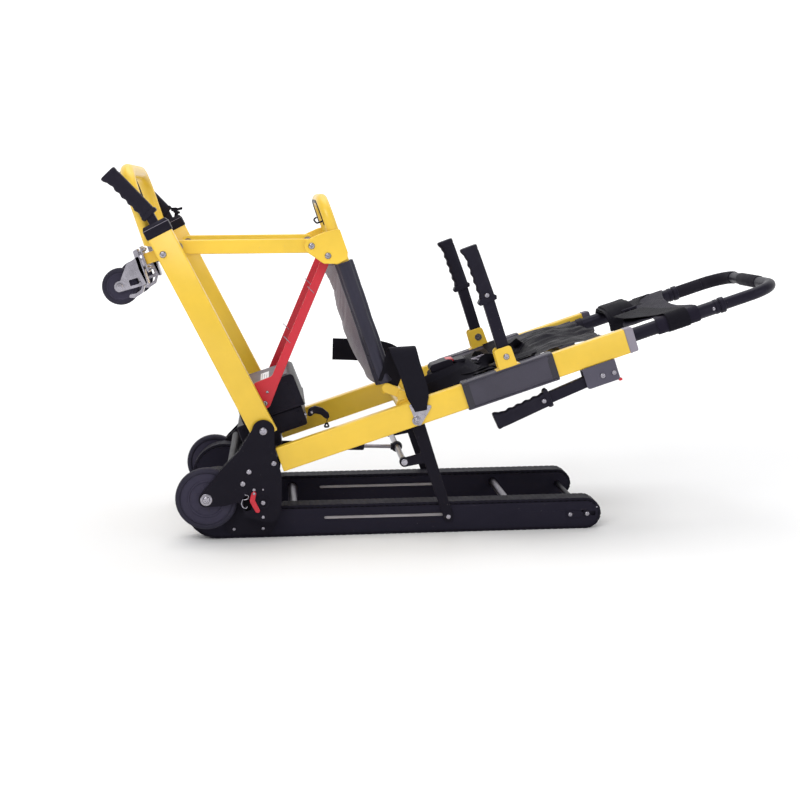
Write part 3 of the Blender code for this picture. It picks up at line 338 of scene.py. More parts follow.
SEATCLOTH = coated_cloth("coated_seat_cloth", "5E5260", 0.52)
SEATSLEEVE = coated_cloth("coated_seat_sleeve", "24232D", 0.3)
BELT = webbing("black_webbing", "141318")
BELT_SHEEN = webbing("black_webbing_satin", "18171D", 0.5)
LABEL = plastic("blank_label", "DCDADE", 0.4, 0.03, 0.1, 600.0, 0.0)
REDPLASTIC = plastic("red_button", "C81F2E", 0.35, 0.08, 0.2, 1200.0, 0.0)
THREAD = plastic("sewing_thread", "4A4753", 0.7, 0.1, 0.0, 2500.0, 0.0)
# darker copy of the grey end cap for the far tube: painted shade
PAINTED_SHADE_CAP = plastic("grey_end_cap_painted_shade", "5E5968", 0.55, 0.18, 0.0, 1400.0, 0.0)
RAIL = plastic("slot_rail", "C9C3C6", 0.5, 0.1, 0.0, 1200.0, 0.0)
# near-black patch for recesses and gaps: painted shade
PAINTED_SHADE = plastic("painted_shade_black", "08070A", 0.8, 0.1, 0.0, 900.0, 0.0, 0.0, 0.1)


for _m in (BLACK, BLACK_TUBE, RUBBER, GRIP, TYRE, HUB, PLASTIC, FOAM, BELT, BELT_SHEEN, SEATSLEEVE):
    _m.node_tree.nodes["Principled BSDF"].inputs["Specular Tint"].default_value = (0.76, 0.73, 1.0, 1.0)


# ------------------------------------------------------------------ geometry tools
def commit(name, bm, mat, body, replaces=(), bevel=0.0, seg=2, sharp=38):
    bmesh.ops.recalc_face_normals(bm, faces=bm.faces)
    me = bpy.data.meshes.new(name)
    bm.to_mesh(me)
    bm.free()
    ob = bpy.data.objects.new(name, me)
    SC.collection.objects.link(ob)
    me.materials.append(mat)
    me.shade_smooth()
    if bevel:
        md = ob.modifiers.new("edge", "BEVEL")
        md.width = bevel * MM
        md.segments = seg
        md.limit_method = "ANGLE"
        md.angle_limit = rad(sharp)
        md.use_clamp_overlap = True
        md.harden_normals = True
    else:
        me.set_sharp_from_angle(angle=rad(sharp))
    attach(ob, body)
    if replaces:
        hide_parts(*([replaces] if isinstance(replaces, str) else replaces))
    return ob


def add_prism(bm, outline, y0, y1, holes=()):
    loops = [list(outline)] + [list(h) for h in holes]
    edges, verts = [], []
    for lp in loops:
        vs = [bm.verts.new(V(p, y0)) for p in lp]
        verts += vs
        for i in range(len(vs)):
            edges.append(bm.edges.new((vs[i], vs[(i + 1) % len(vs)])))
    if len(loops) == 1:
        faces = [bm.faces.new(verts)]
    else:
        tri = tessellate_polygon([[Vector((p[0], p[1], 0.0)) for p in lp] for lp in loops])
        faces = [bm.faces.new([verts[k] for k in t]) for t in tri if len(set(t)) == 3]
        bmesh.ops.recalc_face_normals(bm, faces=faces)
    ext = bmesh.ops.extrude_face_region(bm, geom=faces, use_keep_orig=True)
    nv = [g for g in ext["geom"] if isinstance(g, bmesh.types.BMVert)]
    bmesh.ops.translate(bm, verts=nv, vec=Vector((0, (y1 - y0) * MM, 0)))


def prism(name, outline, y0, y1, mat, body, replaces=(), holes=(), bevel=0.8, seg=2, sharp=38, slot=None):
    bm = bmesh.new()
    add_prism(bm, outline, y0, y1, holes)
    return commit(name, bm, mat, body, replaces, bevel, seg, sharp)


def circle(c, r, n=32, a0=0.0):
    return [(c[0] + r * math.cos(2 * math.pi * i / n + a0), c[1] + r * math.sin(2 * math.pi * i / n + a0)) for i in range(n)]


def arc(c, r, a0, a1, n):
    return [(c[0] + r * math.cos(rad(a0 + (a1 - a0) * i / n)), c[1] + r * math.sin(rad(a0 + (a1 - a0) * i / n)))
            for i in range(n + 1)]


def rounded(points, radii, n=6):
    if not isinstance(radii, (list, tuple)):
        radii = [radii] * len(points)
    out = []
    m = len(points)
    for i, p in enumerate(points):
        a, b, r = Vector(points[i - 1]), Vector(points[(i + 1) % m]), radii[i]
        p = Vector(p)
        u, v = (a - p).normalized(), (b - p).normalized()
        ang = u.angle(v)
        if r <= 0 or ang > math.pi - 0.02:
            out.append((p.x, p.y))
            continue
        d = min(r / math.tan(ang / 2), 0.48 * (a - p).length, 0.48 * (b - p).length)
        r = d * math.tan(ang / 2)
        c = p + (u + v).normalized() * (r / math.sin(ang / 2))
        s, e = p + u * d - c, p + v * d - c
        a0 = math.atan2(s.y, s.x)
        da = math.atan2(s.x * e.y - s.y * e.x, s.dot(e))
        for k in range(n + 1):
            t = a0 + da * k / n
            out.append((c.x + r * math.cos(t), c.y + r * math.sin(t)))
    return out


def slot_outline(a, b, ra, rb=None, n=14):
    rb = ra if rb is None else rb
    d = Vector(b) - Vector(a)
    th = math.degrees(math.atan2(d.y, d.x))
    off = math.degrees(math.acos((ra - rb) / d.length))
    return arc(a, ra, th + off, th + 360 - off, n) + arc(b, rb, th - off, th + off, n)


def add_sweep(bm, pts, radius, n=28, hole=0.0, squash=(1.0, 1.0), ref=None, closed_caps=True, twist=None):
    P = [D(p) for p in pts]
    T = []
    for i in range(len(P)):
        a, b = P[max(i - 1, 0)], P[min(i + 1, len(P) - 1)]
        T.append(((P[i] - a).normalized() + (b - P[i]).normalized()).normalized() if 0 < i < len(P) - 1 else (b - a).normalized())
    ref = Vector(ref) if ref else (Vector((0, 1, 0)) if abs(T[0].y) < 0.9 else Vector((0, 0, 1)))
    N = (ref - T[0] * ref.dot(T[0])).normalized()
    frames = []
    for i in range(len(P)):
        if i:
            N = T[i - 1].rotation_difference(T[i]) @ N
            N = (N - T[i] * N.dot(T[i])).normalized()
        frames.append((N.copy(), T[i].cross(N)))
    radii = radius if isinstance(radius, (list, tuple)) else [radius] * len(P)
    layers = [radii] + ([[hole] * len(P)] if hole else [])
    rings = []
    for rr in layers:
        rg = []
        for i, p in enumerate(P):
            u, v = frames[i]
            rg.append([bm.verts.new(p + (u * math.cos(2 * math.pi * k / n) * squash[0]
                                         + v * math.sin(2 * math.pi * k / n) * squash[1]) * rr[i] * MM) for k in range(n)])
        rings.append(rg)
        for i in range(len(P) - 1):
            for k in range(n):
                bm.faces.new((rg[i][k], rg[i][(k + 1) % n], rg[i + 1][(k + 1) % n], rg[i + 1][k]))
    if hole:
        for i in (0, len(P) - 1):
            for k in range(n):
                k2 = (k + 1) % n
                bm.faces.new((rings[0][i][k], rings[0][i][k2], rings[1][i][k2], rings[1][i][k]))
    else:
        bm.faces.new(rings[0][0])
        bm.faces.new(rings[0][-1])


def fillet_path(pts, r, n=12):
    rr = r if isinstance(r, (list, tuple)) else [r] * len(pts)
    out = [tuple(pts[0])]
    for i in range(1, len(pts) - 1):
        a, p, b = Vector(pts[i - 1]), Vector(pts[i]), Vector(pts[i + 1])
        u, v = (a - p).normalized(), (b - p).normalized()
        ang = u.angle(v)
        d = rr[i] / math.tan(ang / 2)
        c = p + (u + v).normalized() * (rr[i] / math.sin(ang / 2))
        s, e = p + u * d - c, p + v * d - c
        tot, axis = s.angle(e), s.cross(e).normalized()
        for k in range(n + 1):
            out.append(tuple(c + Matrix.Rotation(tot * k / n, 3, axis) @ s))
    out.append(tuple(pts[-1]))
    return out


def add_turn(bm, o, ax, prof, n=32, hexes=()):
    """Turned solid about the axis ax from o (mm): prof is a list of (radius, distance); indices in hexes are hexagons."""
    o, ax = Vector(o), Vector(ax).normalized()
    ref = Vector((0, 0, 1)) if abs(ax.z) < 0.9 else Vector((1, 0, 0))
    u = (ref - ax * ref.dot(ax)).normalized()
    v = ax.cross(u)
    rings = []
    for i, (r, d) in enumerate(prof):
        c = o + ax * d
        if r < 1e-6:
            rings.append([bm.verts.new(D(c))])
            continue
        ring = []
        for k in range(n):
            th = 2 * math.pi * k / n
            q = r
            if i in hexes:
                q = r * math.cos(math.pi / 6) / math.cos((th % (math.pi / 3)) - math.pi / 6)
            ring.append(bm.verts.new(D(c + u * q * math.cos(th) + v * q * math.sin(th))))
        rings.append(ring)
    for a, b in zip(rings, rings[1:]):
        for k in range(n):
            k2 = (k + 1) % n
            if len(a) == 1 and len(b) == 1:
                continue
            if len(a) == 1:
                bm.faces.new((a[0], b[k2], b[k]))
            elif len(b) == 1:
                bm.faces.new((a[k], a[k2], b[0]))
            else:
                bm.faces.new((a[k], a[k2], b[k2], b[k]))
    if len(rings[0]) > 1:
        bm.faces.new(rings[0])
    if len(rings[-1]) > 1:
        bm.faces.new(rings[-1])


def add_bolt(bm, c, yf, sg, r=6.0, h=3.4, kind="button"):
    """Bolt on the face |y| = yf, standing out along sg. button: domed with a hex socket, hex: hexagon, pan: plain dome.
    """
    o, ax = (c[0], sg * yf, c[1]), (0, sg, 0)
    if kind == "button":
        prof = [(r, -0.6), (r, h * 0.18), (r * 0.96, h * 0.42), (r * 0.85, h * 0.72), (r * 0.68, h * 0.93), (r * 0.55, h),
                (r * 0.5, h), (r * 0.5, h * 0.35), (0, h * 0.25)]
        add_turn(bm, o, ax, prof, 36, (6, 7))
    elif kind == "hex":
        add_turn(bm, o, ax, [(r * 1.25, -0.6), (r * 1.25, 0.9), (r * 1.0, 0.9), (r, 0.9), (r, h * 0.85), (r * 0.9, h),
                             (r * 0.62, h), (r * 0.58, h + 1.2), (0, h + 1.4)], 36, (3, 4))
    elif kind == "washer":
        add_turn(bm, o, ax, [(r * 1.5, -0.6), (r * 1.5, 0.8), (r * 1.46, 1.0), (r * 0.98, 1.05), (r, 1.1), (r * 0.97, h * 0.5),
                             (r * 0.84, h * 0.8), (r * 0.55, h), (r * 0.5, h), (r * 0.5, h * 0.4), (0, h * 0.3)], 36, (8, 9))
    else:
        add_turn(bm, o, ax, [(r, -0.5), (r, h * 0.3), (r * 0.9, h * 0.7), (r * 0.6, h * 0.95), (r * 0.3, h), (0, h)], 28)


def bolts(name, items, body, mat=ZINC):
    bm = bmesh.new()
    for it in items:
        add_bolt(bm, *it)
    return commit(name, bm, mat, body, sharp=45)


def box_tube(name, fn, s0, s1, side, mat, body, replaces):
    """Box tube with rolled corners, open at its ends, with small end chamfers."""
    y0, y1 = span(*TY, side)
    yc = (y0 + y1) / 2
    def ring(bm, s, hh, hw, r):
        q = rounded([(hh, -hw), (-hh, -hw), (-hh, hw), (hh, hw)], r, 5)
        return [bm.verts.new(V(fn(s, t), yc + w)) for t, w in q]
    H, Wd, t = TUBE_H / 2, TUBE_W / 2, TUBE_WALL
    bm = bmesh.new()
    rs = [ring(bm, s0 + 0.5, H, Wd, 3.2), ring(bm, s1 - 0.5, H, Wd, 3.2), ring(bm, s1, H - 0.4, Wd - 0.4, 2.9),
          ring(bm, s1, H - t, Wd - t, 1.4), ring(bm, s0, H - t, Wd - t, 1.4), ring(bm, s0, H - 0.4, Wd - 0.4, 2.9)]
    for a, b in zip(rs, rs[1:] + rs[:1]):
        for k in range(len(a)):
            bm.faces.new((a[k], a[(k + 1) % len(a)], b[(k + 1) % len(a)], b[k]))
    return commit(name, bm, mat, body, replaces, sharp=40)


def smooth_path(pts, step=3.0):
    """Catmull-Rom through control points (any dimension), resampled to about step."""
    P = np.array(pts, float)
    Q = np.vstack([2 * P[0] - P[1], P, 2 * P[-1] - P[-2]])
    out = []
    for i in range(1, len(Q) - 2):
        a, b, c, d = Q[i - 1], Q[i], Q[i + 1], Q[i + 2]
        n = max(2, int(np.linalg.norm((c - b)[:3]) / step))
        for k in range(n):
            t = k / n
            out.append(0.5 * ((2 * b) + (-a + c) * t + (2 * a - 5 * b + 4 * c - d) * t * t + (-a + 3 * b - 3 * c + d) * t ** 3))
    out.append(P[-1])
    return np.array(out)


def grid_solid(name, P, thick, mat, body, replaces=(), edge=0.5, wrap=False, smooth=60):
    """Thin closed sheet over a grid of points P[i, j] in mm: rounded rims, and its flat coordinates stored for the weave."""
    P = np.asarray(P, float)
    nu, nv = P.shape[:2]
    du, dv = np.gradient(P, axis=0), np.gradient(P, axis=1)
    N = np.cross(du, dv)
    N /= np.maximum(np.linalg.norm(N, axis=2, keepdims=True), 1e-9)
    lu = np.concatenate([[0], np.cumsum(np.linalg.norm(np.diff(P[:, nv // 2], axis=0), axis=1))])
    lv = np.concatenate([[0], np.cumsum(np.linalg.norm(np.diff(P[nu // 2], axis=0), axis=1))])
    h = np.full((nu, nv), thick / 2.0)
    h[0] *= edge
    h[-1] *= edge
    h[:, 0] *= edge
    h[:, -1] *= edge
    top, bot = P + N * h[..., None], P - N * h[..., None]
    verts = np.concatenate([top.reshape(-1, 3), bot.reshape(-1, 3)])
    verts = (verts + np.array([SX, 0, 0])) * MM
    m = nu * nv
    idx = np.arange(m).reshape(nu, nv)
    faces = []
    for i in range(nu - 1):
        for j in range(nv - 1):
            a, b, c, d = idx[i, j], idx[i + 1, j], idx[i + 1, j + 1], idx[i, j + 1]
            faces.append((a, b, c, d))
            faces.append((m + d, m + c, m + b, m + a))
    rim = [idx[i, 0] for i in range(nu)] + [idx[nu - 1, j] for j in range(1, nv)] + \
          [idx[i, nv - 1] for i in range(nu - 2, -1, -1)] + [idx[0, j] for j in range(nv - 2, 0, -1)]
    for k in range(len(rim)):
        a, b = rim[k], rim[(k + 1) % len(rim)]
        faces.append((b, a, m + a, m + b))
    me = bpy.data.meshes.new(name)
    me.from_pydata([tuple(map(float, v)) for v in verts], [], [tuple(int(q) for q in f) for f in faces])
    me.validate()
    at = me.attributes.new("cloth", "FLOAT_VECTOR", "POINT")
    U, W = np.meshgrid(lu * MM, lv * MM, indexing="ij")
    cc = np.stack([U, W, np.zeros_like(U)], axis=2).reshape(-1, 3)
    at.data.foreach_set("vector", np.concatenate([cc, cc]).astype(np.float32).ravel())
    bm = bmesh.new()
    bm.from_mesh(me)
    bmesh.ops.recalc_face_normals(bm, faces=bm.faces)
    bm.to_mesh(me)
    bm.free()
    me.shade_smooth()
    me.set_sharp_from_angle(angle=rad(smooth))
    ob = bpy.data.objects.new(name, me)
    SC.collection.objects.link(ob)
    me.materials.append(mat)
    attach(ob, body)
    if replaces:
        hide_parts(*([replaces] if isinstance(replaces, str) else replaces))
    ob["flat_w"], ob["flat_l"] = float(lu[-1] * MM), float(lv[-1] * MM)
    return ob


def strap(name, pts, wdirs, width, thick, mat, body, replaces=(), nw=9, step=3.0, curl=0.0, ripple=0.0, seed=0.0, declare=True,
          rests=(), held="laid"):
    """Webbing of a given width along a 3-D line; wdirs are the directions of its width at the control points."""
    widths = list(width) if isinstance(width, (list, tuple)) else [width] * len(pts)
    C = smooth_path([list(p) + list(w) + [q] for p, w, q in zip(pts, wdirs, widths)], step)
    L, Wd, Q = C[:, :3], C[:, 3:6], C[:, 6:7]
    T = np.gradient(L, axis=0)
    T /= np.linalg.norm(T, axis=1, keepdims=True)
    Wd = Wd - T * (Wd * T).sum(1, keepdims=True)
    Wd /= np.linalg.norm(Wd, axis=1, keepdims=True)
    N = np.cross(Wd, T)
    P = np.zeros((nw, len(L), 3))
    acc = np.concatenate([[0], np.cumsum(np.linalg.norm(np.diff(L, axis=0), axis=1))])
    for i in range(nw):
        u = i / (nw - 1) * 2 - 1
        bow = curl * (1 - u * u)
        wob = ripple * np.sin(acc / 17.0 + 2.1 * u + seed) if ripple else 0.0
        P[i] = L + Wd * (u * Q / 2) + N * (bow + np.asarray(wob)[..., None] if ripple else bow)
    ob = grid_solid(name, P, thick, mat, body, replaces)
    return ob


def B3(s, y, t):
    x, z = back(s, t)
    return (x, y, z)


def S3(s, y, t):
    x, z = seat(s, t)
    return (x, y, z)


def box(name, fn, s0, s1, t0, t1, y0, y1, mat, body, replaces=(), bevel=0.8, r=0.0, seg=2, slot=None):
    return prism(name, rounded([fn(s0, t0), fn(s1, t0), fn(s1, t1), fn(s0, t1)], r, 5), y0, y1, mat, body, replaces, (), bevel, seg, slot=slot)


def stitches(name, paths, body, mat=THREAD, r=0.42, dash=3.0, gap=2.0):
    """Rows of raised thread: short rounded dashes along each path of 3-D points in mm."""
    bm = bmesh.new()
    for path in paths:
        P = np.array(path, float)
        acc = np.concatenate([[0], np.cumsum(np.linalg.norm(np.diff(P, axis=0), axis=1))])
        s = 0.8
        while s + dash < acc[-1]:
            q = [np.array([np.interp(v, acc, P[:, k]) for k in range(3)]) for v in (s, s + dash / 2, s + dash)]
            add_sweep(bm, [tuple(v) for v in q], [r * 0.5, r, r * 0.5], 6)
            s += dash + gap
    return commit(name, bm, mat, body, sharp=60)


def sweep(name, pts, radius, mat, body, replaces=(), n=28, hole=0.0, squash=(1.0, 1.0), ref=None, sharp=45):
    bm = bmesh.new()
    add_sweep(bm, pts, radius, n, hole, squash, ref)
    return commit(name, bm, mat, body, replaces, sharp=sharp)


def turned(name, items, mat, body, replaces=(), sharp=38):
    bm = bmesh.new()
    for o, ax, prof in items:
        add_turn(bm, o, ax, prof, 48)
    return commit(name, bm, mat, body, replaces, sharp=sharp)


def weld_bead(bm, c, r, y, n=40, w=1.5):
    """Ring of weld round a tube of radius r that meets a face at y."""
    pts = []
    for k in range(n + 1):
        a = 2 * math.pi * k / n
        q = r + 0.4 * math.sin(a * 13)
        pts.append((c[0] + q * math.cos(a), y, c[1] + q * math.sin(a)))
    add_sweep(bm, pts, w, 8)


# ------------------------------------------------------------------ back frame
def frame_pieces():
    for tag, sg in SIDES:
        box_tube("back_tube_%s.tube" % tag, back, 0, BACK_LEN, sg, YELLOW, "main_frame", "back_tube_" + tag)
        y0, y1 = span(*TY, sg)
        # the far tube's cap, lip and plug use the darker copy of the grey cap: painted shade
        box("tube_end_cap_%s.cap" % tag, back, 732.3, 750.0, -25, 25, y0, y1, (GREYCAP if sg < 0 else PAINTED_SHADE_CAP), "main_frame", "tube_end_cap_" + tag, 2.2, [1.2, 4, 4, 1.2], 3)
        box("tube_end_cap_%s.lip" % tag, back, 733.0, 737.0, -25.35, 25.35, y0 - 0.35, y1 + 0.35, (GREYCAP if sg < 0 else PAINTED_SHADE_CAP), "main_frame", (), 0.8, 0.8)
        box("tube_end_cap_%s.plug" % tag, back, 712.0, 733.0, -22.6, 22.6, y0 + 2.4, y1 - 2.4, (GREYCAP if sg < 0 else PAINTED_SHADE_CAP), "main_frame", (), 0.6, 0.8)
        box_tube("base_tube_%s.tube" % tag, base, -11, BASE_LEN, sg, YELLOW, "base_frame", "base_tube_" + tag)
    # plates
    for tag, sg in SIDES:
        o = arc(BASE_PIVOT, 22.5, 12, 172, 28) + [(-394.4, 183.9), (-429.1, 149.3)] + arc(WHEEL_C, 15, 127, 262, 18) + \
            [(-421.8, 75.5), (-398, 82), (-391, 74), (-386, 52), (-340, 40), (-317, 46), (-311.5, 82), (-310.4, 133), (-313.8, 147.6), (-323.7, 191.1)]
        rr = [0] * 29 + [16, 18] + [0] * 19 + [8, 7, 6, 5, 10, 14, 20, 30, 14, 8]
        y0, y1 = span(*OUT_PLATE, sg)
        lever = rounded([(-388, 92), (-372, 94), (-371, 66), (-386, 62)], 5) if sg < 0 else None
        prism("outer_plate_%s.plate" % tag, rounded(o, rr), y0, y1, BLACK, "main_frame", "outer_plate_" + tag, [lever] if lever else (), 1.0, 3)
        if lever:
            # near-black sheet behind the lever hole: painted shade in the recess
            prism("outer_plate_l.recess_shade", rounded([(-392, 96), (-368, 98), (-367, 62), (-390, 58)], 5), -OUT_PLATE[0] + 0.2, -OUT_PLATE[0] + 4, PAINTED_SHADE,
                  "main_frame", (), (), 0.3)
        o = arc(BASE_PIVOT, 21, 10, 170, 24) + [(-398, 178), (-434, 143)] + arc(WHEEL_C, 13, 130, 250, 14) + \
            [(-430, 40), (-420.6, 12), (-334.6, 9.6), (-322, 30), (-314.5, 82), (-313.4, 133), (-326.7, 191.1)]
        rr = [0] * 25 + [16, 18] + [0] * 15 + [18, 9, 9, 16, 24, 30, 8]
        y0, y1 = span(*IN_PLATE, sg)
        prism("inner_chassis.plate_" + tag, rounded(o, rr), y0, y1, BLACK, "main_frame", "inner_chassis" if sg < 0 else (),
              [circle(TRACK_PIVOT, 9.3, 32)], 0.9)
        op = OUT_PLATE[1]
        items = [(BASE_PIVOT, op, sg, 8.2, 4.4, "button"), (WHEEL_C, op, sg, 7.7, 5.0, "washer")]
        items += [(p, op, sg, 5.6, 3.2, "button") for p in PLATE_BOLTS]
        items += [((-366.0, 106.3), op, sg, 3.6, 2.6, "button"), ((-349.0, 50.5), op, sg, 3.4, 2.0, "button"), ((-348.0, 106.0), op, sg, 2.0, 1.2, "pan"),
                  (TRACK_PIVOT, op, sg, 5.0, 3.0, "button"), ((-350.0, 21.0), IN_PLATE[1], sg, 3.6, 2.4, "button"),
                  ((-408.0, 21.0), IN_PLATE[1], sg, 3.6, 2.4, "button")]
        bolts("plate_bolts_" + tag, items, "main_frame")
        # raised ring round the track pivot, and the spacer sleeves between the plates
        bm = bmesh.new()
        add_turn(bm, (TRACK_PIVOT[0], sg * op, TRACK_PIVOT[1]), (0, sg, 0),
                 [(9.0, -0.4), (9.0, 1.5), (10.0, 1.9), (13.0, 1.9), (14.0, 1.4), (14.2, -0.4)], 48)
        for c in PLATE_BOLTS:
            add_turn(bm, (c[0], sg * IN_PLATE[1], c[1]), (0, sg, 0), [(7.5, 0.1), (7.5, OUT_PLATE[0] - IN_PLATE[1] - 0.1)], 24)
        add_turn(bm, (WHEEL_C[0], sg * 189.9, WHEEL_C[1]), (0, sg, 0), [(5.6, 0), (5.6, 25.2)], 24)
        commit("plate_rings_" + tag, bm, BLACK, "main_frame")
    bm = bmesh.new()
    add_sweep(bm, [(-325.6, -185.3, 158.3), (-325.6, 185.3, 158.3)], 8.0, 32)
    add_sweep(bm, [(-409.0, -185.3, 150.0), (-409.0, 185.3, 150.0)], 10.0, 32)
    for c, r in (((-325.6, 158.3), 8.6), ((-409.0, 150.0), 10.8)):
        for sg in (-1, 1):
            weld_bead(bm, c, r, sg * 184.9)
    commit("chassis_cross_tubes", bm, BLACK, "main_frame", sharp=45)

    # red release lever, its spring clip and hook
    y0, y1 = -223.3, -220.1
    prism("release_lever.lever", rounded([(-371.0, 100), (-365.8, 104.5), (-361.2, 100), (-364.6, 85.5), (-354.8, 65), (-356.5, 60), (-363, 60.5), (-375.5, 84)],
                                         [4, 5, 4, 10, 3, 3, 3, 12], 6), y0, y1, RED, "release_lever", "release_lever", (), 1.0, 3)
    bolts("release_lever.bolt", [((-366.0, 99.0), 223.3, -1, 2.8, 1.6, "button")], "release_lever")
    bm = bmesh.new()
    add_sweep(bm, fillet_path([(-384.5, -221.4, 97.5), (-376.0, -221.8, 94.5), (-378.5, -221.6, 88.5), (-386.5, -221.2, 86.5)], 2.2, 5), 1.1, 10)
    add_sweep(bm, fillet_path([(-388.5, -221.0, 88.0), (-391.5, -221.4, 80.0), (-389.0, -221.6, 72.0), (-382.0, -221.4, 69.0), (-379.5, -221.2, 73.5)],
                              [0, 5, 5, 3, 0], 6), 1.3, 12)
    commit("release_clip", bm, ZINC, "main_frame", sharp=60)

    # cross bars
    c = back(268.5, 19)
    bm = bmesh.new()
    add_sweep(bm, [(c[0], -189.6, c[1]), (c[0], 189.6, c[1])], 13.5, 40)
    for sg in (-1, 1):
        weld_bead(bm, c, 13.8, sg * 189.0, w=1.8)
        y0, y1 = span(184.6, 189.0, sg)
        add_prism(bm, slot_outline(c, SEAT_PIVOT, 11, 8.5), y0, y1)
    commit("hinge_crossbar.bar", bm, YELLOW, "main_frame", "hinge_crossbar", sharp=35)
    c = back(618, -6)
    bm = bmesh.new()
    add_sweep(bm, [(c[0], -189.6, c[1]), (c[0], 189.6, c[1])], 11.0, 40)
    for sg in (-1, 1):
        weld_bead(bm, c, 11.4, sg * 189.2, w=1.6)
    commit("upper_crossbar.bar", bm, YELLOW, "main_frame", "upper_crossbar", sharp=35)


def drive_pieces():
    bat = rounded([back(-52, 76), back(80, 76), back(77, 145), back(-52, 145)], [3, 3, 9, 9], 8)
    prism("battery_pack.case", bat, -118, 118, PLASTIC, "main_frame", "battery_pack", (), 4.5, 4)
    box("battery_pack.top", back, -45, 66, 144.2, 146.6, -104, 104, TOPGREY, "main_frame", (), 0.9, 6, 3)
    box("battery_pack.label", back, 9, 27, 146.5, 146.9, -72, 34, LABEL, "main_frame", (), 0.15, 1.5)
    bm = bmesh.new()
    for k in range(3):
        add_sweep(bm, [B3(12.5 + 5.0 * k, -66, 147.0), B3(12.5 + 5.0 * k, 26 - 22 * k, 147.0)], 0.42, 6)
    commit("battery_pack.label_rules", bm, THREAD, "main_frame")
    # proud flange at the seam, raised side panels and side screws
    box("battery_pack.flange", back, -50, 81.5, 75.6, 80.0, -119, 119, PLASTIC, "main_frame", (), 1.4, 2)
    for sg in (-1, 1):
        y = 118.0
        prism("battery_pack.panel_%s" % ("l" if sg < 0 else "r"), rounded([back(-34, 90), back(64, 90), back(61, 132), back(-34, 132)], 7, 6),
              *span(y - 0.4, y + 0.9, sg), PLASTIC, "main_frame", (), (), 0.7)
    hs = rounded([back(-66, 12), back(10, 12), back(14, 34), back(73, 34), back(73, 75.2), back(-66, 75.2)], [8, 4, 4, 5, 3, 3], 7)
    prism("drive_housing.case", hs, -112, 112, PLASTIC, "main_frame", "drive_housing", (), 3.0, 4)
    bm = bmesh.new()
    for s, t in ((-56, 66), (62, 66), (62, 43), (-56, 24), (2, 22)):
        for sg in (-1, 1):
            add_bolt(bm, back(s, t), 112, sg, 3.2, 1.6, "button")
    for k in range(6):
        for sg in (-1, 1):
            add_prism(bm, rounded([back(-40 + 11 * k, 44), back(-34 + 11 * k, 44), back(-34 + 11 * k, 64), back(-40 + 11 * k, 64)], 2.6, 5),
                      *span(111.8, 113.1, sg))
    commit("drive_housing.ribs", bm, PLASTIC, "main_frame", bevel=0.4)
    # stub that carries the pull lever
    turned("drive_housing.stub", [(B3(73.0, -98, 52.0), (math.cos(rad(17.8)), 0, math.sin(rad(17.8))),
                                   [(6.5, -1), (6.5, 1.6), (5.6, 2.4), (3.4, 2.6), (3.4, 3.6), (0, 3.8)])], ZINC, "main_frame")
    lev = [(-256, 234), (-253, 249), (-240.5, 254.5), (-225, 250), (-211.5, 239), (-209.5, 230), (-217.5, 226.5), (-229, 236.5), (-241, 239), (-247.5, 233)]
    prism("pull_lever.lever", rounded(lev, [4, 9, 10, 10, 4, 3.5, 3.5, 10, 10, 4], 8), -104, -92, PLASTIC, "pull_lever", "pull_lever", (), 2.6, 4)
    bm = bmesh.new()
    add_sweep(bm, fillet_path([(-213.5, -98, 231), (-215.0, -98, 224.5), (-216.0, -98, 220.6)], 3, 4), 1.0, 8)
    tri = [(-216.0, -98, 220.0), (-211.2, -98, 210.0), (-221.4, -98, 209.6)]
    mid = ((tri[0][0] + tri[1][0]) / 2, -98, (tri[0][2] + tri[1][2]) / 2)
    add_sweep(bm, fillet_path([mid, tri[1], tri[2], tri[0], mid], 1.8, 4), 1.9, 10)
    commit("pull_lever.ring", bm, PLASTIC, "pull_lever", sharp=60)
    bolts("pull_lever.pin", [((-246.5, 241.5), 104, -1, 3.0, 1.8, "button"), ((-246.5, 241.5), -92, -1, 2.0, -1.2, "pan")][:1], "pull_lever")


def grip(name, start, angle, L, side, y0, y1, body, replaces=(), w=15.5, flare=20.0, n=5, mat=None):
    """Moulded grip: finger waves on one side, a flared tip and a rounded section."""
    st = []
    def wave(s):
        q = min(max((s - 8) / (L - 26), 0), 1) * n
        return w - 2.3 * (0.5 - 0.5 * math.cos(2 * math.pi * q))
    ss = [0, 0.8, 2.2, 4.5] + list(np.linspace(8, L - 18, 64)) + [L - 14, L - 10, L - 7, L - 4.5, L - 2.5, L - 1.2, L - 0.3, L]
    hw = (y1 - y0) / 2
    yc = (y0 + y1) / 2
    for s in ss:
        tu, td, wy = wave(s), -w, hw - 1.2
        if s > L - 16:
            f = min(1, (s - (L - 16)) / 11)
            f = f * f * (3 - 2 * f)
            tu = w + (flare - w) * f
            td = -w + 1.2 * math.sin(math.pi * f) * 0.6
            wy = hw - 1.2 + 1.0 * f
        end = min(s, 3.0) / 3.0 if s < 3 else (min(L - s, 2.6) / 2.6 if s > L - 2.6 else 1.0)
        k = 1 - 0.14 * (1 - math.sqrt(max(0.0, 1 - (1 - end) ** 2)))
        st.append((s, tu * k, td * k, wy * k))
    bm = bmesh.new()
    rings, m = [], 40
    for s, tu, td, wy in st:
        ring = []
        for i in range(m):
            th = 2 * math.pi * i / m
            c, q = math.cos(th), math.sin(th)
            e = 0.58
            cy = math.copysign(abs(c) ** e, c) * wy
            ct = math.copysign(abs(q) ** e, q)
            t = ct * (tu if q > 0 else -td)
            ring.append(bm.verts.new(V(along(start, angle, s, side * t), yc + cy)))
        rings.append(ring)
    for a, b in zip(rings, rings[1:]):
        for i in range(m):
            bm.faces.new((a[i], a[(i + 1) % m], b[(i + 1) % m], b[i]))
    bm.faces.new(rings[0])
    bm.faces.new(rings[-1])
    ob = commit(name, bm, mat or GRIP, body, replaces, sharp=42)
    return ob


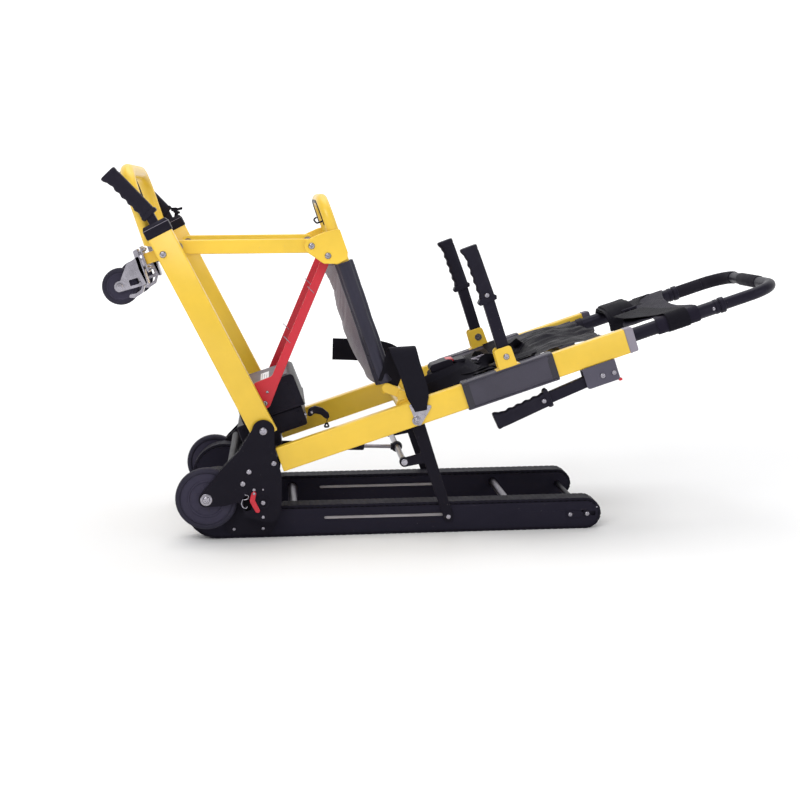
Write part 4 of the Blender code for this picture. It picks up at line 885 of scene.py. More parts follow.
def handle_pieces():
    for tag, sg in SIDES:
        # yellow saddle bracket on the back tube
        a, b = 188.0, 217.0
        lo, hi = span(a, b, sg)
        f0, f1 = 470.0, 508.0
        out = rounded([back(f0 + 1, 27.4), back(f1 - 1, 27.4), back(f1, 34), back(f1 - 1.5, 70), back(f0 + 1.5, 70), back(f0, 34)], [2, 2, 6, 7, 7, 6], 6)
        prism("side_handle_bracket_%s.outer" % tag, out, *span(214.6, 217.8, sg), YELLOW, "main_frame", "side_handle_bracket_" + tag, (), 0.9, 3)
        prism("side_handle_bracket_%s.inner" % tag, out, *span(187.2, 190.4, sg), YELLOW, "main_frame", (), (), 0.9, 3)
        prism("side_handle_bracket_%s.base" % tag, rounded([back(f0, 28.0), back(f1, 28.0), back(f1, 31.6), back(f0, 31.6)], 1.2), *span(187.6, 217.4, sg),
              YELLOW, "main_frame", (), (), 0.8)
        prism("side_handle_bracket_%s.lip" % tag, rounded([back(f0 - 7, 27.0), back(f1 + 7, 27.0), back(f1 + 5, 29.8), back(f0 - 5, 29.8)], 1.0),
              *span(189.0, 216.0, sg), YELLOW, "main_frame", (), (), 0.7)
        bolts("side_handle_bracket_%s.bolts" % tag, [((SIDE_BOLT[0], SIDE_BOLT[1]), 217.8, sg, 6.4, 3.8, "button"),
                                                     ((SIDE_BOLT[0], SIDE_BOLT[1]), 187.2, -sg, 6.4, 4.2, "hex")], "main_frame")
        # folding arm and grip
        A = lambda u, w_: along(SIDE_BOLT, SIDE_ANGLE, u, w_)
        prism("side_handle_arm_%s.arm" % tag, rounded([A(-12, -12), A(121, -12), A(121, 12), A(-12, 12)], [10, 1, 1, 10], 8), *span(194.2, 210.8, sg),
              BLACK_TUBE, "side_handle_" + tag, "side_handle_arm_" + tag, (), 2.4, 4)
        gs = A(107.3, 0)
        gy = span(189.8, 215.2, sg)
        gs = along(SIDE_BOLT, 107.3, 118)
        grip("side_handle_grip_%s.grip" % tag, gs, 109.5, 112, 1, *gy, "side_handle_" + tag, "side_handle_grip_" + tag)
        bm = bmesh.new()
        add_prism(bm, rounded([along(gs, 109.5, -4, -16.5), along(gs, 109.5, 3, -18.5), along(gs, 109.5, 6, -16.0), along(gs, 109.5, 6, 16.0),
                               along(gs, 109.5, 0, 21.5), along(gs, 109.5, -6, 19.5)], [2, 2, 1, 1, 3, 3], 4), *span(190.4, 214.6, sg))
        commit("side_handle_grip_%s.guard" % tag, bm, GRIP, "side_handle_" + tag, bevel=1.6, seg=3)
        bc = along(gs, 109.5, 10, 0)
        bolts("side_handle_grip_%s.bolt" % tag, [(bc, 215.0, sg, 5.0, 3.0, "button")], "side_handle_" + tag)
        # rear bracket (dark) and rear handle
        out = rounded([back(628, -24.0), back(697, -24.0), back(697, -67), back(628, -67)], [2, 2, 6, 6], 6)
        prism("rear_handle_bracket_%s.outer" % tag, out, *span(214.6, 217.8, sg), RBRACKET, "main_frame", "rear_handle_bracket_" + tag, (), 0.9, 3)
        prism("rear_handle_bracket_%s.inner" % tag, out, *span(187.2, 190.4, sg), RBRACKET, "main_frame", (), (), 0.9, 3)
        prism("rear_handle_bracket_%s.base" % tag, rounded([back(628, -28.6), back(697, -28.6), back(697, -25.2), back(628, -25.2)], 1.2),
              *span(187.6, 217.4, sg), RBRACKET, "main_frame", (), (), 0.8)
        bolts("rear_handle_bracket_%s.bolts" % tag, [(REAR_BOLT, 217.8, sg, 5.8, 3.4, "button"), (back(688, -50.5), 217.8, sg, 5.0, 3.0, "button"),
                                                     (REAR_BOLT, 187.2, -sg, 5.8, 4.0, "hex")], "main_frame")
        prism("rear_handle_bracket_%s.tag" % tag, rounded([back(694, -66), back(701, -66), back(701, -71), back(694, -71)], 1.5, 4), *span(204.0, 215.0, sg),
              REDPLASTIC, "main_frame", (), (), 0.6)
        A2 = lambda u, w_: along(REAR_BOLT, REAR_ANGLE, u, w_)
        prism("rear_handle_%s.arm" % tag, rounded([A2(-11, -11), A2(128, -11), A2(128, 11), A2(-11, 11)], [10, 1, 1, 10], 8), *span(194.2, 210.8, sg),
              BLACK_TUBE, "rear_handle_" + tag, "rear_handle_" + tag, (), 2.4, 4)
        gs = A2(117, 0)
        grip("rear_handle_%s.grip" % tag, gs, 204, 116, -1, *gy, "rear_handle_" + tag)
        bm = bmesh.new()
        add_prism(bm, rounded([along(gs, 204, -4, -21.5), along(gs, 204, 3, -19.5), along(gs, 204, 6, -16.0), along(gs, 204, 6, 16.0),
                               along(gs, 204, 2, 17.5), along(gs, 204, -4, 16.5)], [3, 3, 1, 1, 2, 2], 4), *span(190.4, 214.6, sg))
        commit("rear_handle_%s.guard" % tag, bm, GRIP, "rear_handle_" + tag, bevel=1.6, seg=3)
        bolts("rear_handle_%s.bolt" % tag, [(along(gs, 204, 11, 0), 215.0, sg, 5.0, 3.0, "button")], "rear_handle_" + tag)
        # foot grip and collar
        prism("foot_handle_%s.arm" % tag, rounded([base(252, -9), base(486, -9), base(486, 9), base(252, 9)], 2, 5), *span(194.2, 210.8, sg),
              BLACK_TUBE, "foot_handle_" + tag, "foot_handle_" + tag, (), 2.0, 4)
        gs = base(474, 0)
        grip("foot_handle_%s.grip" % tag, gs, 133, 112, 1, *gy, "foot_handle_" + tag)
        bm = bmesh.new()
        add_prism(bm, rounded([along(gs, 133, -3, -17.0), along(gs, 133, 5, -17.5), along(gs, 133, 7, 0), along(gs, 133, 5, 17.0),
                               along(gs, 133, -3, 16.5)], [3, 2, 1, 2, 3], 4), *span(190.2, 214.8, sg))
        commit("foot_handle_%s.root" % tag, bm, GRIP, "foot_handle_" + tag, bevel=1.8, seg=3)
        a0, a1 = span(190, 215.5, sg)
        col = bmesh.new()
        c0, c1 = base(431.3, 0), base(457, 0)
        # collar ring with the square hole for the arm
        rings = []
        for s, ht, hy in ((431.3, 26.0, 12.9), (433, 27.0, 13.6), (449, 27.0, 13.6), (455, 24.5, 12.6), (457, 22.5, 11.6), (457, 10.2, 9.2), (431.3, 10.2, 9.2)):
            q = rounded([(ht, -hy), (-ht, -hy), (-ht, hy), (ht, hy)], 3.6 if ht > 12 else 1.0, 5)
            rings.append([col.verts.new(V(base(s, t), sg * 202.6 + w_)) for t, w_ in q])
        for p, q in zip(rings, rings[1:] + rings[:1]):
            for k in range(len(p)):
                col.faces.new((p[k], p[(k + 1) % len(p)], q[(k + 1) % len(p)], q[k]))
        commit("base_collar_%s.collar" % tag, col, PLASTIC, "base_frame", "base_collar_" + tag, sharp=32)
        line = bmesh.new()
        q = rounded([(27.2, -13.8), (-27.2, -13.8), (-27.2, 13.8), (27.2, 13.8)], 3.8, 5)
        add_sweep(line, [(*base(449.5, t)[:1], sg * 202.6 + w_, base(449.5, t)[1]) for t, w_ in q + q[:1]], 0.45, 6)
        commit("base_collar_%s.edge" % tag, line, GREYCAP, "base_frame")
    # far collar: wing knob and sprung plunger
    for tag, sg in SIDES:
        if sg < 0:
            continue
        k = (-528.0, 202.6, 645.0)
        up = Vector((unit(26)[0], 0, unit(26)[1]))
        bm = bmesh.new()
        add_turn(bm, (-531.0, 202.6, 640.0), (0.2, 0, 1), [(4.0, -12), (4.0, 6), (7.5, 7), (7.5, 11), (3.0, 12.5), (0, 12.6)], 24)
        add_prism(bm, rounded([(-541, 650), (-517, 654), (-516, 661), (-526, 657.5), (-531, 659), (-541.5, 658.5)], 2.4, 5), 198.8, 206.2)
        commit("base_collar_r.wing_knob", bm, PLASTIC, "base_frame", sharp=35)
        bm = bmesh.new()
        add_turn(bm, (-549.0, 202.6, 638.0), (-0.35, 0, 1), [(5.2, -10), (5.2, 4), (3.0, 5), (3.0, 11), (5.4, 12), (5.4, 16), (4.2, 17.4), (0, 17.6)], 28, (0, 1))
        commit("base_collar_r.plunger", bm, ZINC, "base_frame", sharp=35)


# ------------------------------------------------------------------ soft goods
def wrinkle(p, scale, seed):
    return noise.fractal(Vector((p[0] * scale + seed, p[1] * scale - seed, p[2] * scale)), 0.9, 2.1, 3, noise_basis="PERLIN_ORIGINAL")


def resample(pts, n):
    P = np.array(pts, float)
    acc = np.concatenate([[0], np.cumsum(np.linalg.norm(np.diff(P, axis=0), axis=1))])
    q = np.linspace(0, acc[-1], n)
    return np.stack([np.interp(q, acc, P[:, k]) for k in range(P.shape[1])], 1)


def lofted_cloth(prof, s_list, fn3, amp=0.0, scale=0.02, seed=0.0, offset=0.0):
    """Grid of points: the profile (y, t) swept along s, pushed out along its normal by offset and by soft creases."""
    P = np.array(prof, float)
    T = np.gradient(P, axis=0)
    N = np.stack([T[:, 1], -T[:, 0]], 1)
    N /= np.maximum(np.linalg.norm(N, axis=1, keepdims=True), 1e-9)
    G = np.zeros((len(P), len(s_list), 3))
    for j, s in enumerate(s_list):
        for i in range(len(P)):
            y, t = P[i]
            w = wrinkle((s, y * 0.55, t), scale, seed) * amp if amp else 0.0
            y2, t2 = y + N[i, 0] * (offset + w), t + N[i, 1] * (offset + w)
            G[i, j] = fn3(s, y2, t2)
    return G


def settle(G, pin, frames=16, stiff=18.0, slack=0.012, push=0.0):
    """Lets a woven panel settle under its own weight with its rims held, and returns the settled grid."""
    nu, nv = G.shape[:2]
    me = bpy.data.meshes.new("settle")
    idx = np.arange(nu * nv).reshape(nu, nv)
    faces = [(int(idx[i, j]), int(idx[i + 1, j]), int(idx[i + 1, j + 1]), int(idx[i, j + 1])) for i in range(nu - 1) for j in range(nv - 1)]
    me.from_pydata([tuple(v) for v in (G.reshape(-1, 3) * MM)], [], faces)
    ob = bpy.data.objects.new("settle", me)
    SC.collection.objects.link(ob)
    vg = ob.vertex_groups.new(name="pin")
    for i in range(nu):
        for j in range(nv):
            if pin[i, j] > 0:
                vg.add([int(idx[i, j])], float(pin[i, j]), "REPLACE")
    md = ob.modifiers.new("cloth", "CLOTH")
    cs = md.settings
    cs.quality = 6
    cs.mass = 0.25
    cs.tension_stiffness = cs.compression_stiffness = stiff
    cs.shear_stiffness = stiff * 0.5
    cs.bending_stiffness = 1.2
    cs.air_damping = 3.0
    cs.vertex_group_mass = "pin"
    cs.shrink_min = -slack
    md.collision_settings.use_collision = False
    md.point_cache.frame_start, md.point_cache.frame_end = 1, frames + 1
    for f in range(1, frames + 1):
        SC.frame_set(f)
    ev = ob.evaluated_get(bpy.context.evaluated_depsgraph_get())
    m2 = ev.to_mesh()
    out = np.empty(nu * nv * 3, np.float32)
    m2.vertices.foreach_get("co", out)
    ev.to_mesh_clear()
    bpy.data.objects.remove(ob)
    bpy.data.meshes.remove(me)
    SC.frame_set(1)
    out = out.reshape(nu, nv, 3).astype(float) / MM
    if not np.isfinite(out).all() or np.abs(out - G).max() > 40:
        return G
    return out


def sleeve_loop(yi, yo, t0, t1, r, n=10):
    """Profile (y, t) round one side tube from under its inner edge, out round it and back over the top."""
    pts = [(yi, t0)]
    for cx, cy, a0, a1 in ((yo - r, t0 + r, -90, 0), (yo - r, t1 - r, 0, 90)):
        pts += [(cx + r * math.cos(rad(a0 + (a1 - a0) * k / n)), cy + r * math.sin(rad(a0 + (a1 - a0) * k / n))) for k in range(n + 1)]
    return pts


def back_profile(k=0.0):
    """Round the left tube, across the sagging panel and round the right tube."""
    L = [(-y, t) for y, t in sleeve_loop(188.3, 217.2 + k, -27.3 - k, 27.3 + k, 6.0)]
    R = [(y, t) for y, t in sleeve_loop(188.3, 217.2 + k, -27.3 - k, 27.3 + k, 6.0)][::-1]
    mid = [(y, 21.0 - 16.0 * (1 - (abs(y) / 172.0) ** 2)) for y in np.linspace(-172, 172, 41)]
    return L + [(-196.0, 27.2 + k), (-186.0, 25.6 + k)] + mid + [(186.0, 25.6 + k), (196.0, 27.2 + k)] + R


def declared(ob, held="stretched", rests=(), fac=1.0, **kw):
    return ob


def sling_pieces():
    prof = resample(back_profile(), 210)
    ss = np.linspace(390, 580, 64)
    G = lofted_cloth(prof, ss, B3, 0.9, 0.028, 3.1)
    # the panel between the sleeves settles as cloth; the sleeves stay round their tubes
    yy = np.abs(prof[:, 0])
    pin = np.ones(G.shape[:2])
    inner = yy < 176
    pin[inner] = 0.0
    G2 = settle(G, pin)
    G = np.where((pin == 0)[..., None], G2, G)
    ob = grid_solid("backrest_sling.cloth", G, 2.4, CLOTH, "main_frame", "backrest_sling", smooth=75)
    declared(ob, "stretched", ("back_tube_l.tube", "back_tube_r.tube"))
    # hems at both ends, and welted seams beside the tubes
    hem = resample(back_profile(1.1), 200)
    for nm, a, b in (("low", 389.2, 403.0), ("high", 567.0, 580.8)):
        g = lofted_cloth(hem, np.linspace(a, b, 8), B3, 0.5, 0.05, 9.0, 0.0)
        # lie on the settled panel
        src = G[:, :6] if nm == "low" else G[:, -6:]
        base_line = resample(np.concatenate([src.mean(1)], 0), 200)
        g2 = np.zeros_like(g)
        ax = np.array([math.cos(rad(FRAME_SLOPE)), 0, math.sin(rad(FRAME_SLOPE))])
        nrm = np.array([-math.sin(rad(FRAME_SLOPE)), 0, math.cos(rad(FRAME_SLOPE))])
        mid = np.abs(hem[:, 0]) < 184
        sm = src.shape[1]
        s_mid = (a + b) / 2
        for j, s in enumerate(np.linspace(a, b, 8)):
            g2[:, j] = g[:, j]
            o = np.array(B3(s, 0, 0))
            tt = (base_line - np.array(B3(0, 0, 0))) @ nrm + 1.5
            for i in range(200):
                if mid[i]:
                    x, z = back(s, tt[i])
                    g2[i, j] = (x, base_line[i, 1], z)
        h = grid_solid("backrest_sling.hem_" + nm, g2, 1.5, HEM, "main_frame", smooth=75)
        declared(h, "stretched", ("backrest_sling.cloth",))
    seams, st = [], []
    for sg in (-1, 1):
        seams.append([B3(s, sg * 187.0, 26.9 + 0.4 * math.sin(s * 0.21)) for s in np.linspace(391, 579, 48)])
        for y, t in ((183.2, 26.9), (191.5, 29.2)):
            st.append([B3(s, sg * y, t) for s in np.linspace(393, 577, 40)])
        st.append([B3(s, sg * 218.9, 20.5) for s in np.linspace(393, 577, 40)])
        st.append([B3(s, sg * 218.9, -20.5) for s in np.linspace(393, 577, 40)])
    bm = bmesh.new()
    for p in seams:
        add_sweep(bm, p, 1.9, 10)
    for sg in (-1, 1):
        add_sweep(bm, [B3(s, sg * 218.2, 26.6) for s in np.linspace(390.5, 579.5, 40)], 1.7, 10)
        add_sweep(bm, [B3(s, sg * 218.2, -26.6) for s in np.linspace(390.5, 579.5, 40)], 1.7, 10)
    commit("backrest_sling.piping", bm, CLOTH, "main_frame", sharp=60)
    stitches("backrest_sling.stitches", st, "main_frame")


def collar_strap(name, s0, s1, yc, r, thick, mat, body, seed=0.0, amp=0.4):
    """Band wrapped round a round tube that runs along the back frame."""
    prof = [(yc + r * math.cos(rad(a)), HANDLE_T + r * math.sin(rad(a))) for a in np.linspace(-88, 264, 64)]
    G = lofted_cloth(prof, np.linspace(s0, s1, 14), B3, amp, 0.06, seed)
    ob = grid_solid(name, G, thick, mat, body)
    declared(ob, "gathered", ("handle_sleeve_l.tube" if yc < 0 else "handle_sleeve_r.tube",))
    return ob


def upper_pieces():
    for tag, sg in SIDES:
        y = sg * HANDLE_Y
        bm = bmesh.new()
        add_sweep(bm, [B3(640, y, 2), B3(641, y, 2), B3(950, y, 2), B3(951, y, 2)], [13.6, 14.2, 14.2, 13.6], 44, 12.6)
        for a, b, r in ((930, 938, 15.2), (941, 951.5, 16.2)):
            add_sweep(bm, [B3(a, y, 2), B3(a + 0.8, y, 2), B3(b - 0.8, y, 2), B3(b, y, 2)], [r - 0.9, r, r, r - 0.9], 40, 13.4)
        commit("handle_sleeve_%s.tube" % tag, bm, BLACK_TUBE, "main_frame", "handle_sleeve_" + tag, sharp=35)
        # saddle clamps that hold the sleeve to the tube
        for k, s in enumerate((662, 718)):
            bm = bmesh.new()
            add_sweep(bm, [B3(s - 7, y, 2), B3(s - 6.2, y, 2), B3(s + 6.2, y, 2), B3(s + 7, y, 2)], [15.0, 16.0, 16.0, 15.0], 36, 14.3)
            commit("handle_sleeve_%s.clamp%d" % (tag, k), bm, PLASTIC, "main_frame", sharp=35)
        turned("handle_sleeve_%s.pin" % tag, [(B3(925, y - sg * -14.0, 2), (0, sg, 0), [(3.4, -1.5), (3.4, 2.0), (2.6, 3.0), (0, 3.2)])], ZINC, "main_frame")
    leg = [B3(717, -HANDLE_Y, 2), B3(1069, -HANDLE_Y, 2), B3(1069, HANDLE_Y, 2), B3(717, HANDLE_Y, 2)]
    sweep("upper_handle.tube", fillet_path(leg, 62, 22), 12.0, BLACK_TUBE, "upper_handle", "upper_handle", 36)
    # foam on the far leg and a short foam sleeve at the middle of the bar
    path = fillet_path(leg, 62, 22)
    bm = bmesh.new()
    L = smooth_path([p for p in path if p[1] > 96], 4)
    add_sweep(bm, [tuple(p) for p in L], [13.0] + [13.9] * (len(L) - 2) + [13.0], 32)
    commit("upper_handle.grip_sleeve", bm, FOAM, "upper_handle", sharp=50)
    bm = bmesh.new()
    add_sweep(bm, [B3(1069, -60, 2), B3(1069, -58, 2), B3(1069, 58, 2), B3(1069, 60, 2)], [12.6, 13.5, 13.5, 12.6], 32)
    commit("upper_handle.mid_sleeve", bm, FOAM, "upper_handle", sharp=50)
    # head panel wraps both sleeves
    def prof(k):
        R = 15.9 + k
        Lp = [(-(HANDLE_Y + R * math.cos(rad(a))), HANDLE_T + R * math.sin(rad(a))) for a in np.linspace(-215, 90, 34)]
        Rp = [(-y, t) for y, t in Lp[::-1]]
        mid = [(y, HANDLE_T + R - 5.0 * (1 - (abs(y) / 150.0) ** 2)) for y in np.linspace(-150, 150, 31)]
        return Lp + mid + Rp
    p0 = resample(prof(0.0), 190)
    n = 30
    G = np.zeros((190, n, 3))
    for i in range(190):
        y = p0[i, 0]
        k = max(0.0, 1 - (abs(y) / 168.0) ** 2)
        skew = 12.0 * y / 175.0
        droop = max(0.0, math.sin(math.pi * min(max((y + 150.0) / 210.0, 0.0), 1.0))) ** 0.8
        a, b = 818 + 9 * k + skew - 55 * droop, 908 - 22 * k + skew
        for j, s in enumerate(np.linspace(a, b, n)):
            w = wrinkle((s, y * 0.5, p0[i, 1]), 0.03, 17.0) * 0.9
            low = 10.0 * (max(0.0, 822 - s) / 55.0) ** 1.2 * droop
            G[i, j] = B3(s, y, p0[i, 1] - low + (w if abs(y) < 160 else 0.3 * w))
    pin = np.ones(G.shape[:2])
    pin[np.abs(p0[:, 0]) < 158] = 0.0
    G2 = settle(G, pin, 12, 20.0, 0.008)
    G = np.where((pin == 0)[..., None], G2, G)
    ob = grid_solid("head_panel.cloth", G, 2.2, HEADCLOTH, "main_frame", "head_panel", smooth=75)
    declared(ob, "stretched", ("handle_sleeve_l.tube", "handle_sleeve_r.tube"))
    st = []
    for off in (3.0, 5.5):
        for j in (1, n - 2):
            st.append([tuple(G[i, j] + np.array([-0.35, 0, 1.15]) * 1.25) for i in range(40, 151, 2)])
        break
    stitches("head_panel.stitches", st, "main_frame")
    collar_strap("sleeve_strap_l", 827, 873, -HANDLE_Y, 17.6, 1.8, BELT, "main_frame", 2.0)
    collar_strap("sleeve_strap_r", 850, 890, HANDLE_Y, 17.6, 1.8, BELT, "main_frame", 5.0)
    for sg, tag in ((1, "r"),):
        P = [B3(868, sg * 168, 19.6), B3(850, sg * 150, 20.6), B3(838, sg * 120, 18.4), B3(836, sg * 92, 16.6)]
        strap("sleeve_strap_%s.tail" % tag, P, [(0.95, 0, 0.3)] * 4, 26, 1.6, BELT, "main_frame", seed=sg, curl=0.6, ripple=0.4,
              rests=("head_panel.cloth",))
    # thick folded strap round the far sleeve, with its ladder buckle on the near side
    AL = (math.cos(rad(FRAME_SLOPE)), 0, math.sin(rad(FRAME_SLOPE)))
    for k, (s0, w, g) in enumerate(((797, 66, 0.0), (795, 60, 3.9), (798, 56, 7.4))):
        P = [(s0, 86 - g, -19), (s0, 80 - g, -4), (s0, 83 - g, 10), (s0, 97 - g * 0.6, 19 + g * 0.5), (s0, 122, 21.5 + g), (s0, 150, 21.5 + g), (s0, 178, 21 + g * 0.9),
             (s0, 196 + g * 0.5, 13), (s0, 200, -2)]
        strap("head_strap.fold%d" % k, [B3(*p) for p in P], [AL] * 9, w, 3.0, BELT_SHEEN if k == 1 else BELT, "main_frame", (), 11, 3.0, 0.8, 0.8, 1.0 + k, held="folded",
              rests=("handle_sleeve_r.tube",))
    P = [B3(804, 62, 10.5), B3(804, 42, 16.6), B3(808, -10, 17), B3(818, -60, 17.8), B3(832, -110, 19.4), B3(844, -150, 21.4), B3(849, -175.5, 22.8), B3(849, -187.6, 19.0),
         B3(849, -195.2, 9.0), B3(849, -196.2, -1.5), B3(849, -191.6, -11.2)]
    strap("head_strap.run", P, [AL] * 11, [60, 66, 68, 64, 58, 50, 44, 44, 44, 44, 44], 1.8, BELT, "main_frame", (), 11, 3.0, 0.4, 0.3, 4.0, held="stretched",
          rests=("head_panel.cloth", "sleeve_strap_l"))
    bm = bmesh.new()
    for t, y in ((-14, 73.0), (17, 74.5)):
        add_sweep(bm, [B3(799, y, t), B3(800, y, t), B3(831, y, t), B3(832, y, t)], 2.7, 10)
    for s in (801, 815.5, 830):
        add_sweep(bm, [tuple(q) for q in smooth_path([B3(s, 73, -14), B3(s, 68.5, -6), B3(s, 68.0, 4), B3(s, 70.5, 11), B3(s, 74.5, 17)], 3)], 2.3 if s == 815.5 else 2.7, 12)
    commit("head_strap.ladder", bm, PLASTIC, "main_frame", sharp=50)


def belt_pieces():
    # lap belts at the hinge: anchor plate, bolt and webbing
    anchor = rounded([(-57, 270.5), (-40.3, 228), (-33, 227), (-9.5, 267.5), (-30, 268.5)], [3, 9, 9, 3, 0], 7)
    slot_h = rounded([(-51, 268.0), (-20, 265.2), (-20.5, 261.8), (-50.5, 264.2)], 1.4, 4)
    for tag, sg in SIDES:
        prism("lap_belt_%s.anchor" % tag, anchor, *span(215.3, 218.1, sg), ZINC, "main_frame", "lap_belt_" + tag, [slot_h], 0.7, 2)
        bolts("lap_belt_%s.bolt" % tag, [((-40.3, 237.5), 218.1, sg, 6.4, 3.8, "washer")], "main_frame")
        y = sg * 219.6
        if sg < 0:
            P = [(-32.5, y, 257), (-34.5, y - 0.4, 268), (-38.5, y - 1.0, 288), (-46.5, y - 1.0, 318), (-55.5, y - 0.6, 345), (-62.5, y + 1.0, 367), (-66.5, y + 6, 379),
                 (-69.5, y + 15, 383), (-73, y + 25, 378), (-79, y + 33, 358), (-86, y + 37, 332), (-95, y + 38, 308)]
            wd = [(1, 0, 0.02), (1, 0, 0.05), (0.97, 0, 0.22), (0.95, 0, 0.3), (0.95, 0, 0.3), (0.96, 0, 0.26), (0.98, 0.08, 0.12), (0.98, 0.1, 0.05), (0.97, 0.2, 0.12),
                  (0.93, 0.25, 0.27), (0.9, 0.3, 0.3), (0.9, 0.3, 0.3)]
            wl = [24, 30, 44, 46, 47, 50, 52, 52, 51, 49, 48, 47]
            strap("lap_belt_l.webbing", P, wd, wl, 1.9, BELT_SHEEN, "main_frame", (), 13, 2.5, 0.8, 0.5, 1.3, held="hung", rests=("lap_belt_l.anchor",))
        else:
            P = [(-35.5, y, 256), (-36.5, y + 0.4, 276), (-41.0, y + 0.8, 300), (-60, y + 0.9, 322), (-92, y + 0.8, 331), (-130, y, 334.5), (-165, y - 0.6, 336.5), (-190, y + 0.8, 337.5)]
            wd = [(1, 0, 0.02), (1, 0, 0.1), (0.93, 0, 0.36), (0.62, 0, 0.78), (0.22, 0, 0.97), (0.06, 0, 1), (0.03, 0, 1), (0.0, 0, 1)]
            strap("lap_belt_r.webbing", P, wd, [24, 42, 47, 48, 49, 49, 49, 49], 1.9, BELT_SHEEN, "main_frame", (), 13, 2.5, 0.6, 0.4, 2.0, held="hung", rests=("lap_belt_r.anchor",))
    # straps heaped over the backrest
    def bk(name, pts, widths, w, **kw):
        kw.setdefault("rests", ("backrest_sling.cloth",))
        return strap(name, [B3(*p) for p in pts], widths, w, kw.pop("thick", 1.9), kw.pop("mat", BELT), "main_frame", kw.pop("replaces", ()), 11, 3.0, **kw)
    ux, uz = math.cos(rad(FRAME_SLOPE)), math.sin(rad(FRAME_SLOPE))
    AL, AC, UP = (ux, 0, uz), (0, 1, 0), (-uz, 0, ux)
    diag = lambda a: (ux * math.cos(rad(a)), math.sin(rad(a)), uz * math.cos(rad(a)))
    # the belt across the torso, lying on the panel
    sag = lambda y: 25.2 - 16.0 * (1 - (abs(y) / 172.0) ** 2) if abs(y) < 172 else 25.2 + (abs(y) - 172) * 0.38
    pts = [(523 + 3 * math.sin(y / 40), y, sag(y)) for y in (-186, -172, -130, -85, -40, 0, 40, 85, 130, 172, 186)]
    bk("torso_belt.webbing", pts, [AL] * len(pts), 50, replaces="torso_belt", curl=0.8, ripple=0.5, seed=0.4)
    # loose loops: each is laid a little above the one before
    bk("torso_belt.loop_a", [(452, -168, 28), (448, -130, 24), (438, -84, 24), (430, -36, 26), (436, 10, 22), (456, 52, 18), (486, 84, 16), (514, 92, 18)],
       [AL, AL, diag(-14), AL, diag(16), diag(42), diag(64), diag(80)], 46, curl=1.5, ripple=1.0, seed=2.2)
    bk("torso_belt.loop_b", [(398, -104, 36), (420, -112, 30), (452, -96, 28), (482, -60, 26), (504, -22, 24), (520, 26, 21), (548, 62, 19), (566, 108, 20)],
       [diag(66), diag(80), diag(60), diag(48), diag(56), diag(52), diag(60), diag(40)], 44, curl=1.8, ripple=1.2, seed=4.0)
    bk("torso_belt.fold_a", [(340, -66, 40), (352, -64, 46), (378, -60, 47), (404, -58, 45), (430, -56, 40), (460, -52, 33), (488, -48, 29), (520, -46, 27)],
       [AC, AC, diag(86), AC, AC, diag(84), AC, AC], 48, curl=1.6, ripple=0.9, seed=1.1, mat=BELT_SHEEN)
    bk("torso_belt.fold_b", [(346, 8, 34), (360, 6, 41), (388, 0, 43), (416, -6, 41), (446, -4, 36), (478, 4, 29), (510, 12, 24)],
       [AC, AC, diag(98), AC, AC, diag(84), AC], 46, curl=-1.4, ripple=1.0, seed=3.1)
    bk("torso_belt.tail", [(476, -140, 28.5), (500, -128, 27.5), (532, -120, 27), (560, -112, 26.6), (590, -104, 24), (618, -100, 19)],
       [AC, AC, diag(82), AC, AC, AC], 42, curl=1.2, ripple=0.8, seed=5.5)
    # loose ends that stand on edge between the hinge tube and the panel
    lean = lambda a: (-uz * math.cos(rad(a)), math.sin(rad(a)), ux * math.cos(rad(a)))
    bk("torso_belt.end_a", [(300, -92, 24), (320, -103, 27), (345, -111, 29), (370, -112, 30), (396, -106, 33), (420, -96, 37), (440, -86, 40)],
       [lean(18), lean(24), lean(30), lean(28), lean(36), lean(52), lean(66)], 44, curl=2.6, ripple=0.9, seed=6.1, mat=BELT_SHEEN, rests=("hinge_crossbar.bar",))
    bk("torso_belt.end_b", [(306, -138, 16), (330, -146, 20), (356, -148, 22), (384, -143, 25), (408, -134, 31), (428, -122, 35)],
       [lean(12), lean(10), lean(20), lean(30), lean(50), lean(64)], 38, curl=2.2, ripple=0.9, seed=7.7, rests=("hinge_crossbar.bar",))
    # crumpled black liner at the top of the pile
    prof_s = np.linspace(396, 698, 92)
    ny = 56
    G = np.zeros((ny, 92, 3))
    for i, y in enumerate(np.linspace(-167, 167, ny)):
        for j, s in enumerate(prof_s):
            rough = min(max((s - 540) / 30.0, 0.0), 1.0)
            edge = 1 - (abs(y) / 167.0) ** 6
            e = (1.0 + 5.4 * rough) * wrinkle((s * 0.3 + y * 0.22, y * 0.75 - s * 0.12, 1.0), 0.034, 31.0) + (0.5 + 1.9 * rough) * wrinkle((s * 0.16, y, 2.0), 0.075, 12.0)
            low = 24.6 - 16.0 * (1 - (abs(y) / 172.0) ** 2)
            high = 21.0 + 7.0 * max(-0.15, math.cos((s - 596) / 46.0 * 1.1))
            up = low * (1 - rough) + high * rough
            slide = rough * 10 * wrinkle((y, 3.0, 0.0), 0.03, 4.0)
            G[i, j] = B3(s + slide, y, up + e * edge)
    ob = grid_solid("torso_belt.liner", G, 1.4, LINER, "main_frame", smooth=80)
    declared(ob, "gathered", ("backrest_sling.cloth", "upper_crossbar.bar"))
